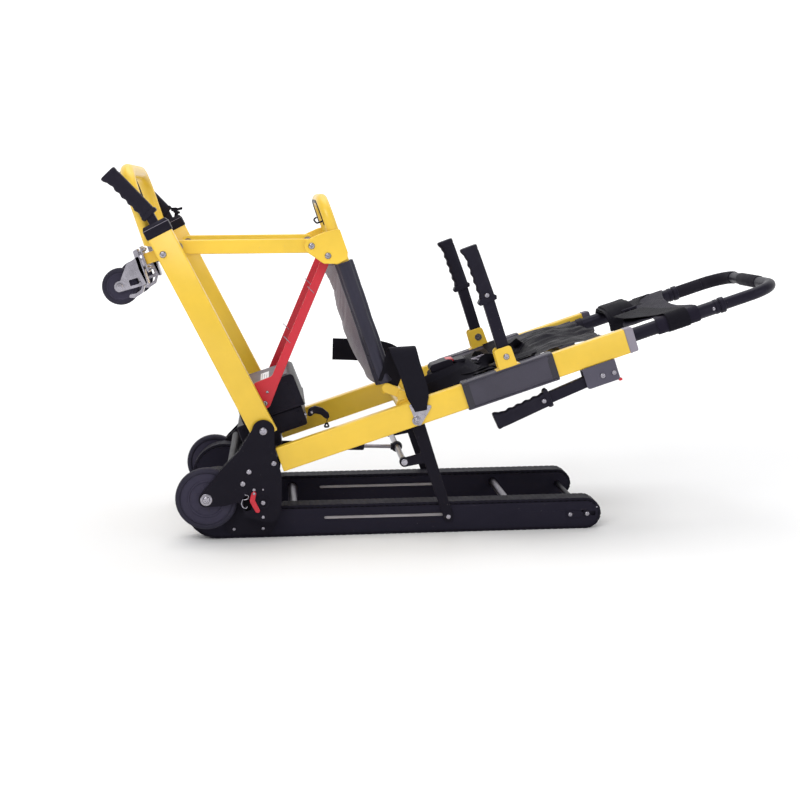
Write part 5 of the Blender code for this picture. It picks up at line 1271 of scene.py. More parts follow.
    # buckle with its red release, oval cap, ring with a cord tail
    def BKP(s, y, t):
        return B3(s, y, t)
    body = rounded([back(348, 47.5), back(398, 46.0), back(398, 60.0), back(390, 63.5), back(354, 63.5), back(348, 58)], [3, 2, 3, 5, 6, 3], 5)
    prism("buckle.body", body, -86, -34, PLASTIC, "main_frame", (), (), 2.6, 4)
    prism("buckle.button", rounded([back(386, 57), back(400.5, 55.5), back(400.5, 61.5), back(386, 64.6)], [1.5, 2, 2, 1.5], 4), -79, -41, REDPLASTIC,
          "main_frame", (), (), 1.6, 3)
    prism("buckle.tongue", rounded([back(402, 49.5), back(424, 48.0), back(424, 54.5), back(402, 57.5)], 2, 4), -82, -38, PLASTIC, "main_frame", (), (), 1.6, 3)
    bm = bmesh.new()
    add_turn(bm, B3(412, -18, 44.0), (-uz, 0.0, ux), [(19, 0), (19.5, 2.5), (17.5, 6.2), (12, 8.8), (6, 9.8), (0, 10.0)], 44)
    commit("buckle.cap", bm, PLASTIC, "main_frame", sharp=50)
    bm = bmesh.new()
    ring = [B3(462 + 11 * math.cos(a), -34 + 13 * math.sin(a), 37.5 + 2.2 * math.sin(a)) for a in np.linspace(0, 2 * math.pi, 40)]
    add_sweep(bm, ring, 1.7, 12)
    commit("buckle.ring", bm, GREYCAP, "main_frame", sharp=60)
    bm = bmesh.new()
    add_sweep(bm, [tuple(p) for p in smooth_path([B3(452, -38, 38.5), B3(444, -44, 40.5), B3(441, -37, 41), B3(447, -30, 40), B3(456, -33, 40.5), B3(461, -40, 40)], 2)], 1.5, 10)
    commit("buckle.ring_tail", bm, GREYCAP, "main_frame", sharp=60)
    prism("buckle.slider", rounded([back(478, 32.5), back(500, 30.5), back(500, 35.5), back(478, 38)], 1.8, 4), -76, -22, PLASTIC, "main_frame", (), (), 1.4, 3)


# ------------------------------------------------------------------ wheels and casters
def mirrored(half):
    return half + [(r, -d) for r, d in half[::-1]]


def wheel_pieces():
    for tag, sg in SIDES:
        o = (WHEEL_C[0], sg * 202.6, WHEEL_C[1])
        hub = mirrored([(6.6, 10.6), (13.0, 10.8), (14.5, 10.2), (15.5, 8.2), (32.5, 8.0), (34.0, 9.4), (36.6, 9.6), (38.0, 8.2), (51.5, 7.6), (52.5, 7.0)])
        turned("main_wheel_%s.hub" % tag, [(o, (0, sg, 0), hub)], HUB, "main_wheel_" + tag, "main_wheel_" + tag, 28)
        tyre = mirrored([(51.4, 6.0), (51.6, 9.2), (53.0, 10.6), (55.5, 11.0), (58.2, 10.2), (60.4, 8.4), (61.6, 5.6), (62.0, 2.8), (61.4, 2.3), (61.4, 1.5), (62.0, 1.0)])
        turned("main_wheel_%s.tyre" % tag, [(o, (0, sg, 0), tyre)], TYRE, "main_wheel_" + tag, (), 28)
        bm = bmesh.new()
        for k in range(8):
            a = 2 * math.pi * k / 8 + 0.2
            for d in (1, -1):
                c, q = math.cos(a), math.sin(a)
                pts = [(WHEEL_C[0] + r * c - w_ * q, WHEEL_C[1] + r * q + w_ * c) for r, w_ in ((15, -1.5), (33.5, -1.2), (33.5, 1.2), (15, 1.5))]
                add_prism(bm, pts, *span(202.6 + d * 7.8 - 0.9, 202.6 + d * 7.8 + 0.9, sg))
        commit("main_wheel_%s.ribs" % tag, bm, HUB, "main_wheel_" + tag, bevel=0.4)
        # casters
        cy = sg * CASTER_Y
        o = (CASTER_C[0], cy, CASTER_C[1])
        hub = mirrored([(4.5, 13.4), (9.5, 13.4), (10.5, 12.4), (11.0, 9.6), (23.0, 9.0), (24.5, 9.8), (26.8, 9.8), (27.4, 9.0)])
        turned("caster_wheel_%s.hub" % tag, [(o, (0, sg, 0), hub)], HUB, "caster_wheel_" + tag, "caster_wheel_" + tag, 28)
        tyre = mirrored([(26.6, 8.0), (26.9, 9.8), (29.0, 10.9), (32.4, 10.4), (34.8, 8.6), (36.2, 5.6), (36.5, 2.0)])
        turned("caster_wheel_%s.tyre" % tag, [(o, (0, sg, 0), tyre)], TYRE, "caster_wheel_" + tag, (), 28)
        # fork
        crown = rounded([cas(-55.4, -60), cas(-55.4, 12), cas(-50, 12), cas(-45, -20), cas(-45.5, -58)], [1.5, 1.5, 2, 8, 3], 5)
        prism("caster_fork_%s.crown" % tag, crown, cy - 17.2, cy + 17.2, ZINC, "caster_fork_" + tag, "caster_fork_" + tag, (), 1.0, 3)
        ch = [cas(-53, -46), cas(-53, 10)] + [cas(-44, 11.5)] + [cas(11 * math.cos(rad(a)), 11 * math.sin(rad(a))) for a in np.linspace(62, -110, 22)] + [cas(-26, -38)]
        slot_h = rounded([cas(-42, -6.5), cas(-42, 5.5), cas(-20, 5.5), cas(-20, -6.5)], 1.8, 5)
        for d in (-1, 1):
            a, b = (14.2, 17.2) if d > 0 else (-17.2, -14.2)
            prism("caster_fork_%s.cheek_%s" % (tag, "a" if d > 0 else "b"), rounded(ch, [3, 3, 6] + [0] * 22 + [10], 5), cy + a, cy + b, ZINC, "caster_fork_" + tag,
                  (), [slot_h, circle(CASTER_C, 4.3, 24)], 0.7, 2)
        d1 = Vector((unit(GROUND_ANGLE + 90)[0], 0, unit(GROUND_ANGLE + 90)[1]))
        q0 = cas(-60.6, -TRAIL)
        turned("caster_fork_%s.cup" % tag, [((q0[0], cy, q0[1]), d1, [(15, -1.2), (18.6, -0.9), (19.6, 0.6), (19.6, 4.8), (18.2, 6.2), (14.0, 7.2)])], ZINC,
               "caster_fork_" + tag, (), 30)
        turned("caster_fork_%s.axle" % tag, [((CASTER_C[0], cy - sg * 17.2, CASTER_C[1]), (0, sg, 0),
                                              [(5.8, -3.2), (5.8, 0.2), (4.1, 0.4), (4.1, 34.2), (8.4, 34.3), (8.4, 35.2), (6.6, 35.3), (6.6, 39.0), (5.6, 39.8), (3.4, 39.9), (3.2, 41.4), (0, 41.6)])],
               ZINC, "caster_fork_" + tag, (), 30)
        # brake: spring plate, pedal and pivot
        bk1 = rounded([cas(-46, 12), cas(-38, 25), cas(-20, 30), cas(-9, 26), cas(-12, 20.5), cas(-24, 22.5), cas(-36, 18), cas(-41, 11)], [2, 6, 5, 3, 3, 6, 6, 2], 5)
        prism("caster_fork_%s.pedal" % tag, bk1, cy - 11, cy + 11, ZINC, "caster_fork_" + tag, (), (), 0.7, 2)
        bm = bmesh.new()
        add_sweep(bm, [(*cas(-40, 6)[:1], cy - 20, cas(-40, 6)[1]), (*cas(-40, 6)[:1], cy + 20, cas(-40, 6)[1])], 2.6, 20)
        add_sweep(bm, [(*cas(-30, -22)[:1], cy - 18.6, cas(-30, -22)[1]), (*cas(-30, -22)[:1], cy + 18.6, cas(-30, -22)[1])], 2.2, 20)
        commit("caster_fork_%s.pins" % tag, bm, ZINC, "caster_fork_" + tag, sharp=40)
        # swivel plate on the frame side, and its bolts
        prism("caster_mount_%s.plate" % tag, rounded([cas(-64.4, -TRAIL - 26), cas(-64.4, -TRAIL + 26), cas(-61.2, -TRAIL + 26), cas(-61.2, -TRAIL - 26)], 0.8),
              cy - 24, cy + 24, ZINC, "base_frame", (), (), 0.6)
        bm = bmesh.new()
        for aa in (-19, 19):
            for yy in (-17.5, 17.5):
                q = cas(-64.4, -TRAIL + aa)
                add_turn(bm, (q[0], cy + yy, q[1]), -d1, [(4.6, -0.4), (4.6, 2.6), (3.8, 3.4), (2.6, 3.5), (2.4, 5.6), (0, 5.8)], 24, (0, 1))
        q = cas(-64.4, -TRAIL)
        add_turn(bm, (q[0], cy, q[1]), -d1, [(12.5, -0.4), (12.0, 2.2), (9.0, 4.4), (0, 4.6)], 32)
        commit("caster_mount_%s.bolts" % tag, bm, ZINC, "base_frame", sharp=35)


def base_pieces():
    low, top = (-556.0, 592.0), (-600.5, 734.0)
    pts = [(low[0], -HOOP_Y, low[1]), (top[0], -HOOP_Y, top[1]), (top[0], HOOP_Y, top[1]), (low[0], HOOP_Y, low[1])]
    path = fillet_path(pts, 52, 16)
    sweep("foot_hoop.tube", path, HOOP_R, YELLOW, "base_frame", "foot_hoop", 36)
    d = Vector((top[0] - low[0], 0, top[1] - low[1])).normalized()
    nrm = Vector((-d.z, 0, d.x))
    if nrm.x > 0:
        nrm = -nrm
    # edge strip along the outer side of the hoop
    P = [tuple(Vector(p) + nrm * (HOOP_R - 0.6)) for p in path[1:-1]]
    bm = bmesh.new()
    add_sweep(bm, P, 4.2, 14, squash=(1.0, 0.55), ref=None)
    commit("foot_hoop.strip", bm, PLASTIC, "base_frame", sharp=60)
    # gussets from the hoop legs to the base tubes, and bolts
    for tag, sg in SIDES:
        y0, y1 = span(176.0, 190.5, sg)
        c = (low[0] + 2, low[1] + 6)
        prism("foot_hoop.lug_" + tag, rounded([(c[0] - 13, c[1] - 10), (c[0] + 12, c[1] - 12), (c[0] + 10, c[1] + 22), (c[0] - 14, c[1] + 20)], 5, 5), y0, y1, YELLOW,
              "base_frame", (), (), 1.2, 3)
        bolts("base_tube_%s.bolts" % tag, [((-529.9, 572.3), 215.0, sg, 6.8, 3.6, "button"), ((-537.5, 588.0), 190.0, -sg, 5.0, 3.0, "hex")], "base_frame")
        turned("link_bolt_" + tag, [((LINK_REAR[0], sg * 180.0, LINK_REAR[1]), (0, sg, 0), [(8, -17), (8, 0.1), (10.5, 0.3), (10.5, 2.0), (6.5, 2.2), (6.5, 9.8)])], ZINC,
               "base_frame")
    cb = cas(-103, -TRAIL)
    bm = bmesh.new()
    yi = 189.6
    add_sweep(bm, [(cb[0], -yi, cb[1]), (cb[0], yi, cb[1])], 12.0, 36)
    for sg in (-1, 1):
        weld_bead(bm, cb, 12.4, sg * 189.2, w=1.5)
    commit("caster_crossbar.bar", bm, YELLOW, "base_frame", "caster_crossbar", sharp=35)
    for tag, sg in SIDES:
        y0, y1 = span(CASTER_Y - 12.5, CASTER_Y + 12.5, sg)
        prism("caster_crossbar.stub_" + tag, rounded([cas(-103, -TRAIL - 11), cas(-103, -TRAIL + 11), cas(-62.4, -TRAIL + 11), cas(-62.4, -TRAIL - 11)], 1.5), y0, y1, YELLOW,
              "base_frame", (), (), 2.0, 3)


# ------------------------------------------------------------------ seat
def seat_pieces():
    leg = [S3(12, -SEAT_LEG_Y, SEAT_T), S3(416, -SEAT_LEG_Y, SEAT_T), S3(416, SEAT_LEG_Y, SEAT_T), S3(12, SEAT_LEG_Y, SEAT_T)]
    path = fillet_path(leg, 48, 16)
    sweep("seat_frame.tube", path, 12.0, YELLOW, "seat", "seat_frame", 36)
    nr = Vector((unit(SEAT_ANGLE + 90)[0], 0, unit(SEAT_ANGLE + 90)[1]))
    for tag, sg in SIDES:
        prism("seat_frame.lug_" + tag, slot_outline(SEAT_PIVOT, seat(22, 24), 8.8, 10), *span(178.5, 184.2, sg), YELLOW, "seat", (), (), 0.9, 2)
        br = rounded([(-258.1, 587), (-253, 596), (-220.6, 610.2), (-196.4, 616.2), (-186.8, 616.2), (-171.6, 571), (-172.4, 558.2), (-190.5, 548.4), (-219, 549), (-253.6, 573)],
                     [5, 6, 4, 2, 3, 4, 3, 6, 10, 8], 6)
        prism("seat_frame.bracket_" + tag, br, *span(180.5, 187.2, sg), YELLOW, "seat", (), (), 1.4, 3)
        bolts("seat_frame.bolts_" + tag, [((LINK_FRONT), 187.2, sg, 6.6, 3.6, "button"), ((BRACE_TOP), 187.2, sg, 6.6, 3.6, "button"),
                                          (SEAT_PIVOT, 184.2, sg, 6.0, 0.6, "pan")], "seat")
        turned("seat_frame.pins_" + tag, [((BRACE_TOP[0], sg * 146.0, BRACE_TOP[1]), (0, sg, 0), [(9.0, -3.0), (9.0, -0.4), (6.0, -0.3), (6.0, 34.6)]),
                                          ((LINK_FRONT[0], sg * 163.0, LINK_FRONT[1]), (0, sg, 0), [(9.0, -2.6), (9.0, 0.0), (6.0, 0.2), (6.0, 17.6)])], ZINC, "seat")
        # the seat link
        prism("seat_link_%s.bar" % tag, slot_outline(LINK_REAR, LINK_FRONT, 13.9, 13.9, 20), *span(165.2, 180.0, sg), YELLOW, "seat_link_" + tag, "seat_link_" + tag, (), 2.6, 4)
        # the red brace
        bo = rounded([(-218, 568), (-207.5, 574), (-202, 561), (-312, 310), (-331, 263), (-340, 256), (-350, 262), (-366, 303), (-360, 311), (-326, 324)],
                     [7, 7, 7, 40, 8, 7, 6, 5, 5, 10], 8)
        if sg > 0:
            bo = rounded([(-218, 568), (-207.5, 574), (-202, 561), (-312, 310), (-331, 263), (-340, 256), (-350, 262), (-345, 280), (-326, 324)],
                         [7, 7, 7, 40, 8, 7, 6, 12, 30], 8)
        prism("seat_brace_%s.bar" % tag, bo, *span(146.2, 151.8, sg), RED, "seat_brace_" + tag, "seat_brace_" + tag, (), 1.1, 3)
        bm = bmesh.new()
        for p in ((-245, 496), (-294.5, 397)):
            ang = math.degrees(math.atan2(561 - 310, -202 + 312))
            for yy in (152.0, 146.0):
                q0, q1 = along(p, ang + 68, -9.5), along(p, ang + 68, 9.0)
                add_sweep(bm, [(q0[0], sg * yy, q0[1]), (q1[0], sg * yy, q1[1])], 0.7, 8)
        commit("seat_brace_%s.joint_lines" % tag, bm, GREYCAP, "seat_brace_" + tag)
        bolts("seat_brace_%s.bolts" % tag, [(BRACE_FOOT, 151.8, sg, 5.4, 3.0, "button"), (along((-336, 292), 0, 0), 151.8, sg, 3.0, 1.6, "button")], "seat_brace_" + tag)
    # hoop edge strip and its small hook
    P = [tuple(Vector(p) + nr * 11.4) for p in path if S3(290, 0, 0)[2] < p[2]]
    bm = bmesh.new()
    add_sweep(bm, P, 3.6, 14, squash=(1.0, 0.6))
    commit("seat_frame.strip", bm, PLASTIC, "seat", sharp=60)
    bm = bmesh.new()
    add_sweep(bm, fillet_path([S3(372, -16, 34), S3(372, -16, 46), S3(381, -16, 50), S3(384, -16, 42)], 3, 5), 1.8, 12)
    commit("seat_frame.hook", bm, PLASTIC, "seat", sharp=60)

    # sling: sleeves round the legs and the deep panel on the far side of them
    def prof(k=0.0):
        R = 13.7 + k
        Lp = [(-(SEAT_LEG_Y + R * math.cos(rad(a))), SEAT_T + R * math.sin(rad(a))) for a in np.linspace(-200, 90, 34)]
        mid = [(y, 37.7 + k + 26.0 * (1 - (abs(y) / 150.0) ** 2)) for y in np.linspace(-150, 150, 41)]
        return Lp + mid + [(-y, t) for y, t in Lp[::-1]]
    p0 = resample(prof(), 220)
    ss = np.linspace(35, 284, 74)
    G = lofted_cloth(p0, ss, S3, 0.8, 0.03, 7.7)
    depth = np.interp(ss, [25, 45, 70, 100, 141, 200, 277], [0.12, 0.36, 0.64, 0.86, 0.97, 0.93, 0.8])
    down = np.array([-math.sin(rad(SEAT_ANGLE)), 0, math.cos(rad(SEAT_ANGLE))])
    for i in range(len(p0)):
        if abs(p0[i, 0]) < 150:
            G[i] += down * ((depth - 1) * 26.0 * (1 - (abs(p0[i, 0]) / 150.0) ** 2))[:, None]
    pin = np.ones(G.shape[:2])
    pin[np.abs(p0[:, 0]) < 158] = 0.0
    G2 = settle(G, pin, 8, 30.0, 0.0)
    G = np.where((pin == 0)[..., None], G + 0.4 * (G2 - G), G)
    ob = grid_solid("seat_sling.cloth", G, 2.4, SEATCLOTH, "seat", "seat_sling", smooth=75)
    declared(ob, "stretched", ("seat_frame.tube",))
    # darker padded sleeves over the legs
    for tag, sg in SIDES:
        R = 16.6
        fold = lambda a: R + 0.85 * (1 + math.cos(rad(7 * a + 158)))
        pp = [(sg * (SEAT_LEG_Y + fold(a) * math.cos(rad(a))), SEAT_T + fold(a) * math.sin(rad(a))) for a in np.linspace(-170, 118, 76)]
        g = lofted_cloth(pp, np.linspace(33, 287, 80), S3, 0.9, 0.026, 21.0 + sg)
        o2 = grid_solid("seat_sling.sleeve_" + tag, g, 2.2, SEATSLEEVE, "seat", smooth=75)
        declared(o2, "stretched", ("seat_frame.tube",))
        bm = bmesh.new()
        for a in (-168, 116):
            y, t = sg * (SEAT_LEG_Y + R * math.cos(rad(a))), SEAT_T + R * math.sin(rad(a))
            add_sweep(bm, [S3(s, y, t) for s in np.linspace(34, 286, 40)], 1.7, 10)
        commit("seat_sling.piping_" + tag, bm, SEATSLEEVE, "seat", sharp=60)
        stitches("seat_sling.stitches_" + tag, [[S3(s, sg * (SEAT_LEG_Y + 17.8 * math.cos(rad(a))), SEAT_T + 17.8 * math.sin(rad(a))) for s in np.linspace(36, 284, 40)]
                                                for a in (-158, 106)], "seat")
    # hems
    for nm, a, b, src in (("low", 34.2, 48, G[:, :5]), ("high", 271, 284.8, G[:, -5:])):
        m = src.mean(1)
        n_ = np.array([-math.sin(rad(SEAT_ANGLE)), 0, math.cos(rad(SEAT_ANGLE))])
        tt = (m - np.array(S3(0, 0, 0))) @ n_
        keep = np.abs(m[:, 1]) < 152
        g = np.zeros((int(keep.sum()), 7, 3))
        for j, s in enumerate(np.linspace(a, b, 7)):
            for i, (y, t) in enumerate(zip(m[keep, 1], tt[keep])):
                g[i, j] = S3(s, y, t + 1.9)
        h = grid_solid("seat_sling.hem_" + nm, g, 1.5, SEATCLOTH, "seat", smooth=75)
        declared(h, "stretched", ("seat_sling.cloth",))


# ------------------------------------------------------------------ tracks
def loop_outline(off=0.0, n=18):
    nose, rs_, rg = TRACK_H / 2 - off, SPROCKET_R - off, GUIDE_R + off
    ax, az = SPROCKET_C
    bx, bz = GUIDE_C[0], TRACK_H + GUIDE_R
    dx, dz = bx - ax, bz - az
    dist = math.hypot(dx, dz)
    th = math.degrees(math.atan2(dz, dx))
    al = math.degrees(math.acos((rs_ + rg) / dist))
    pts = arc((IDLER_C[0], TRACK_H / 2), nose, -90, 90, n)
    pts += arc((bx, bz), rg, 270, th + al + 180, 8)
    pts += arc(SPROCKET_C, rs_, th + al, 270, 3 * n)
    return pts


def loop_samples(pitch):
    """Points, tangents and outward normals spaced evenly round the belt line, without its hollow guide bend."""
    L = loop_outline(0.0)
    P = np.array(L + L[:1], float)
    acc = np.concatenate([[0], np.cumsum(np.linalg.norm(np.diff(P, axis=0), axis=1))])
    n = int(acc[-1] / pitch)
    out = []
    for k in range(n):
        s = acc[-1] * k / n
        i = min(int(np.searchsorted(acc, s, "right")) - 1, len(P) - 2)
        f = (s - acc[i]) / max(acc[i + 1] - acc[i], 1e-9)
        p = P[i] + (P[i + 1] - P[i]) * f
        t = (P[i + 1] - P[i]) / max(np.linalg.norm(P[i + 1] - P[i]), 1e-9)
        out.append((p, t, np.array([t[1], -t[0]])))
    return out


def belt_ring(bm, a, b, y0, y1):
    vs = [[bm.verts.new(V(p, y)) for p in q] for q, y in ((a, y0), (b, y0), (b, y1), (a, y1))]
    for p, q in zip(vs, vs[1:] + vs[:1]):
        for k in range(len(p)):
            bm.faces.new((p[k], p[(k + 1) % len(p)], q[(k + 1) % len(p)], q[k]))


def track_pieces():
    sam = loop_samples(12.7)
    for tag, sg in SIDES:
        y0, y1 = span(BELT_IN, BELT_OUT, sg)
        bm = bmesh.new()
        # body of the belt
        belt_ring(bm, loop_outline(0.4), loop_outline(6.9), y0 + 0.2, y1 - 0.2)
        commit("track_belt_%s.belt" % tag, bm, RUBBER, "tracks", "track_belt_" + tag, sharp=40)
        bm, dk = bmesh.new(), bmesh.new()
        for p, t, n in sam:
            # low tread bar across the outside, and near-black slivers at both edges for the tooth gaps: painted shade
            q = [p + t * u - n * w for u, w in ((-4.4, 0.6), (4.4, 0.6), (3.9, 0.0), (-3.9, 0.0))]
            add_prism(bm, [tuple(v) for v in q], y0, y1)
            q = [p + t * u - n * w for u, w in ((-2.5, 4.7), (2.5, 4.7), (2.5, 6.6), (-2.5, 6.6))]
            for e in (y0, y1):
                add_prism(dk, [tuple(v) for v in q], e - 0.28, e + 0.28)
        commit("track_belt_%s.bars" % tag, bm, RUBBER, "tracks", (), sharp=30)
        commit("track_belt_%s.gaps" % tag, dk, PAINTED_SHADE, "tracks", (), sharp=30)
        for a_, b_ in ((176.4, 179.7), (133.3, 136.6)):
            prism("track_carriage.rail_%s_%d" % (tag, int(a_)), slot_outline((-223.0, 38.0), (25.0, 38.0), 4.2, 4.2, 8), *span(a_, b_, sg), RAIL, "tracks", (), (), 0.3)
        # side panels
        off = BELT_T - 0.5
        nose, rr = TRACK_H / 2 - off, SPROCKET_R - off
        pan = arc((IDLER_C[0], TRACK_H / 2), nose, -90, 90, 22) + [(-312.0, TRACK_H - off)] + arc(TRACK_PIVOT, 19.0, 20, 110, 12) + arc(SPROCKET_C, rr, 52, 270, 40)
        sl = slot_outline((-224.0, 38.0), (26.0, 38.0), 3.2, 3.2, 8)
        tip = rounded([(318.0, 27.5), (329.0, 27.5), (329.0, 36.5), (318.0, 36.5)], 1.6, 4)
        tip2 = rounded([(299.0, 35.0), (305.0, 35.0), (305.0, 39.0), (299.0, 39.0)], 1.2, 4)
        prism("track_carriage.outer_" + tag, pan, *span(180.3, 184.5, sg), TRACKPANEL, "tracks", "track_carriage" if sg < 0 else (),
              [sl, tip, tip2, circle(TRACK_PIVOT, 9.0, 28), circle(SPROCKET_C, 8.6, 28), circle(IDLER_C, 6.5, 24)], 0.7, 2)
        prism("track_carriage.inner_" + tag, pan, *span(128.5, 132.7, sg), TRACKPANEL, "tracks", (),
              [sl, circle(SPROCKET_C, 9.6, 28), circle(IDLER_C, 6.5, 24)], 0.7, 2)
        # slot lips
        for a, b in ((184.4, 185.3), (127.7, 128.6)):
            prism("track_carriage.slot_lip_%s_%d" % (tag, int(a)), slot_outline((-224.0, 38.0), (26.0, 38.0), 5.4, 5.4, 10), *span(a, b, sg), TRACKPANEL, "tracks", (),
                  [slot_outline((-224.0, 38.0), (26.0, 38.0), 3.3, 3.3, 8)], 0.25, 1)
        # nose plate with its bolts
        tear = arc((276.0, 31.0), 8.5, 100, 260, 14) + [(300.0, 24.5), (303.0, 27.5), (303.0, 33.0), (298.0, 38.0)]
        prism("track_carriage.nose_plate_" + tag, rounded(tear, [0] * 15 + [3, 2, 2, 3], 5), *span(184.5, 186.1, sg), TRACKPANEL, "tracks", (), (), 0.6, 2)
        bolts("track_bolts_" + tag, [((276.0, 31.0), 186.1, sg, 4.6, 2.6, "button"), ((311.5, 31.5), 184.5, sg, 5.0, 2.8, "button"),
                                     ((331.5, 45.0), 184.5, sg, 1.7, 1.0, "pan"), ((-437.0, 70.0), 184.5, sg, 7.6, 0.6, "pan")], "tracks")
        # cross spacers inside each track
        for k, (x0, x1) in enumerate(((-290.0, -262.0), (-130, -104), (120.0, 150.0))):
            prism("track_spacer_%s%d" % (tag, k), rounded([(x0, 12.0), (x1, 12.0), (x1, 26.0), (x0, 26.0)], 2), *span(132.6, 180.4, sg), BLACK, "tracks", (), (), 0.6)
        turned("track_skid_" + tag, [((GUIDE_C[0], sg * 132.6, TRACK_H + GUIDE_R), (0, sg, 0), [(GUIDE_R - 0.5, 0), (GUIDE_R - 0.5, 47.8)])], PLASTIC, "tracks")
        turned("track_pivot_" + tag, [((TRACK_PIVOT[0], sg * 180.6, TRACK_PIVOT[1]), (0, sg, 0), [(8.8, 0), (8.8, 11.0), (7.0, 11.4), (7.0, 34.4)])], ZINC, "main_frame")
    bm = bmesh.new()
    for x, r in ((-288.0, 9.5), (162.0, 8.0)):
        add_sweep(bm, [(x, -128.6, 40.0), (x, 128.6, 40.0)], r, 36)
    commit("track_carriage.cross_tubes", bm, TUBE_STEEL, "tracks", sharp=45)
    bm = bmesh.new()
    for x, r in ((-288.0, 10.4), (162.0, 8.8)):
        for sg in (-1, 1):
            weld_bead(bm, (x, 40.0), r, sg * 128.0, w=1.3)
    commit("track_carriage.welds", bm, BLACK, "tracks", sharp=45)
    # sprockets and idlers
    ye = BELT_OUT + 0.3 + 4.2
    prof = [(0, -ye), (7.6, -ye), (8.0, -ye + 0.6), (8.0, -178.5), (60.8, -178.5), (62.4, -177), (62.4, -133), (60.8, -131.5), (9.0, -131.5),
            (9.0, 131.5), (60.8, 131.5), (62.4, 133), (62.4, 177), (60.8, 178.5), (8.0, 178.5), (8.0, ye - 0.6), (7.6, ye), (0, ye)]
    turned("drive_sprockets.shaft", [((SPROCKET_C[0], 0, SPROCKET_C[1]), (0, 1, 0), prof)], PLASTIC, "drive_sprockets", "drive_sprockets", 32)
    prof = [(0, -ye), (5.6, -ye), (6.0, -ye + 0.6), (6.0, -178.5), (23.4, -178.5), (24.5, -177), (24.5, -133), (23.4, -131.5), (6.0, -131.5),
            (6.0, 131.5), (23.4, 131.5), (24.5, 133), (24.5, 177), (23.4, 178.5), (6.0, 178.5), (6.0, ye - 0.6), (5.6, ye), (0, ye)]
    turned("front_idlers.shaft", [((IDLER_C[0], 0, IDLER_C[1]), (0, 1, 0), prof)], PLASTIC, "front_idlers", "front_idlers", 32)
    # strut arms
    for tag, sg in SIDES:
        y0, y1 = span(185.6, 189.4, sg)
        prism("track_arm_%s.bar" % tag, slot_outline(ARM_TOP, ARM_PIN, 13.5, 10.0, 18), y0, y1, BLACK, "track_arm_" + tag, "track_arm_" + tag, (), 0.9, 2)
        prism("track_arm_%s.lug" % tag, slot_outline(ARM_LUG, along(ARM_LUG, 12, 42), 9.5, 11.0, 16), y0 + 0.45, y1 - 0.45, BLACK, "track_arm_" + tag, (), (), 0.9, 2)
        bm = bmesh.new()
        add_sweep(bm, [(ARM_LUG[0], sg * 12.6, ARM_LUG[1]), (ARM_LUG[0], sg * 187.0, ARM_LUG[1])], 6.0, 28)
        commit("track_arm_%s.rod" % tag, bm, STEEL, "track_arm_" + tag, sharp=45)
        turned("track_arm_%s.collar" % tag, [((ARM_LUG[0], sg * 176.0, ARM_LUG[1]), (0, sg, 0), [(8.6, 0), (9.6, 1.0), (9.6, 8.2), (8.6, 9.4)])], PLASTIC, "track_arm_" + tag)
        bolts("track_arm_%s.bolts" % tag, [(ARM_LUG, 188.95, sg, 6.4, 0.8, "button"), (ARM_PIN, 189.35, sg, 4.4, 0.4, "pan"), (ARM_TOP, 189.35, sg, 5.5, 0.4, "pan")],
              "track_arm_" + tag)
        turned("track_arm_%s.slider" % tag, [((ARM_PIN[0], sg * 180.0, ARM_PIN[1]), (0, sg, 0), [(3.0, 0), (3.0, 4.4), (5.2, 4.5), (5.2, 5.8)])], ZINC, "track_arm_" + tag)
    # gas spring
    th = math.atan2(GV[1], GV[0])
    ax = (math.cos(th), 0, math.sin(th))
    g = lambda s: (gas(s)[0], 0.0, gas(s)[1])
    bm = bmesh.new()
    add_prism(bm, circle(PLATE_BOLTS[0], 12.6, 40), -7.0, 7.0, (circle(PLATE_BOLTS[0], 8.4, 32),))
    commit("gas_spring_cylinder.eye", bm, BLACK, "gas_cylinder", "gas_spring_cylinder", 0.9)
    turned("gas_spring_cylinder.body", [(g(11.5), ax, [(6, 0), (9, 2.0), (9, 176.0), (8.6, 178.5), (7.0, 180.2), (4.7, 180.4), (4.7, 30)])], BLACK_TUBE, "gas_cylinder")
    turned("gas_spring_rod.rod", [(g(120.0), ax, [(4.0, 0), (4.0, GL - 131.5), (6.2, GL - 131.0), (6.2, GL - 125.0)])], STEEL, "gas_rod", "gas_spring_rod")
    turned("gas_spring_rod.ball", [(g(GL), (0, 1, 0), [(0, -11.4), (6.5, -10.4), (10.2, -6.5), (12.0, 0), (10.2, 6.5), (6.5, 10.4), (0, 11.4)]),
                                   (g(GL - 13), ax, [(7.2, 0), (7.2, 5.0), (8.6, 6.0), (8.6, 9.0)])], PLASTIC, "gas_rod", (), 50)


TOPGREY = plastic("battery_top_plastic", "5C5058", 0.5, 0.15, 0.0, 900.0, 0.1)
RBRACKET = paint("dark_bracket_coat", "4B4857", 0.42, 0.1, 0.15, 0.1, 0.2, 0.12, 0.35)
TRACKPANEL = paint("track_panel_coat", "1B1923", 0.5, 0.0, 0.2, 0.1, 0.15, 0.12, 0.16)
HEM = coated_cloth("coated_hem_cloth", "2A2831", 0.42)
HEADCLOTH = coated_cloth("head_panel_cloth", "1D1A25", 0.55, 0.08, 0.0)
LINER = coated_cloth("soft_liner_cloth", "0F0D14", 0.4, 0.07, 0.0)
for _m in (HEADCLOTH, LINER, TRACKPANEL):
    _m.node_tree.nodes["Principled BSDF"].inputs["Specular Tint"].default_value = (0.76, 0.73, 1.0, 1.0)

frame_pieces()
drive_pieces()
handle_pieces()
sling_pieces()
upper_pieces()
belt_pieces()
wheel_pieces()
base_pieces()
seat_pieces()
track_pieces()

# any CAD node that still shows without a material gets the black powder coat
for nm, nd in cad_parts.items():
    if not nd.data.materials:
        nd.data.materials.append(BLACK)

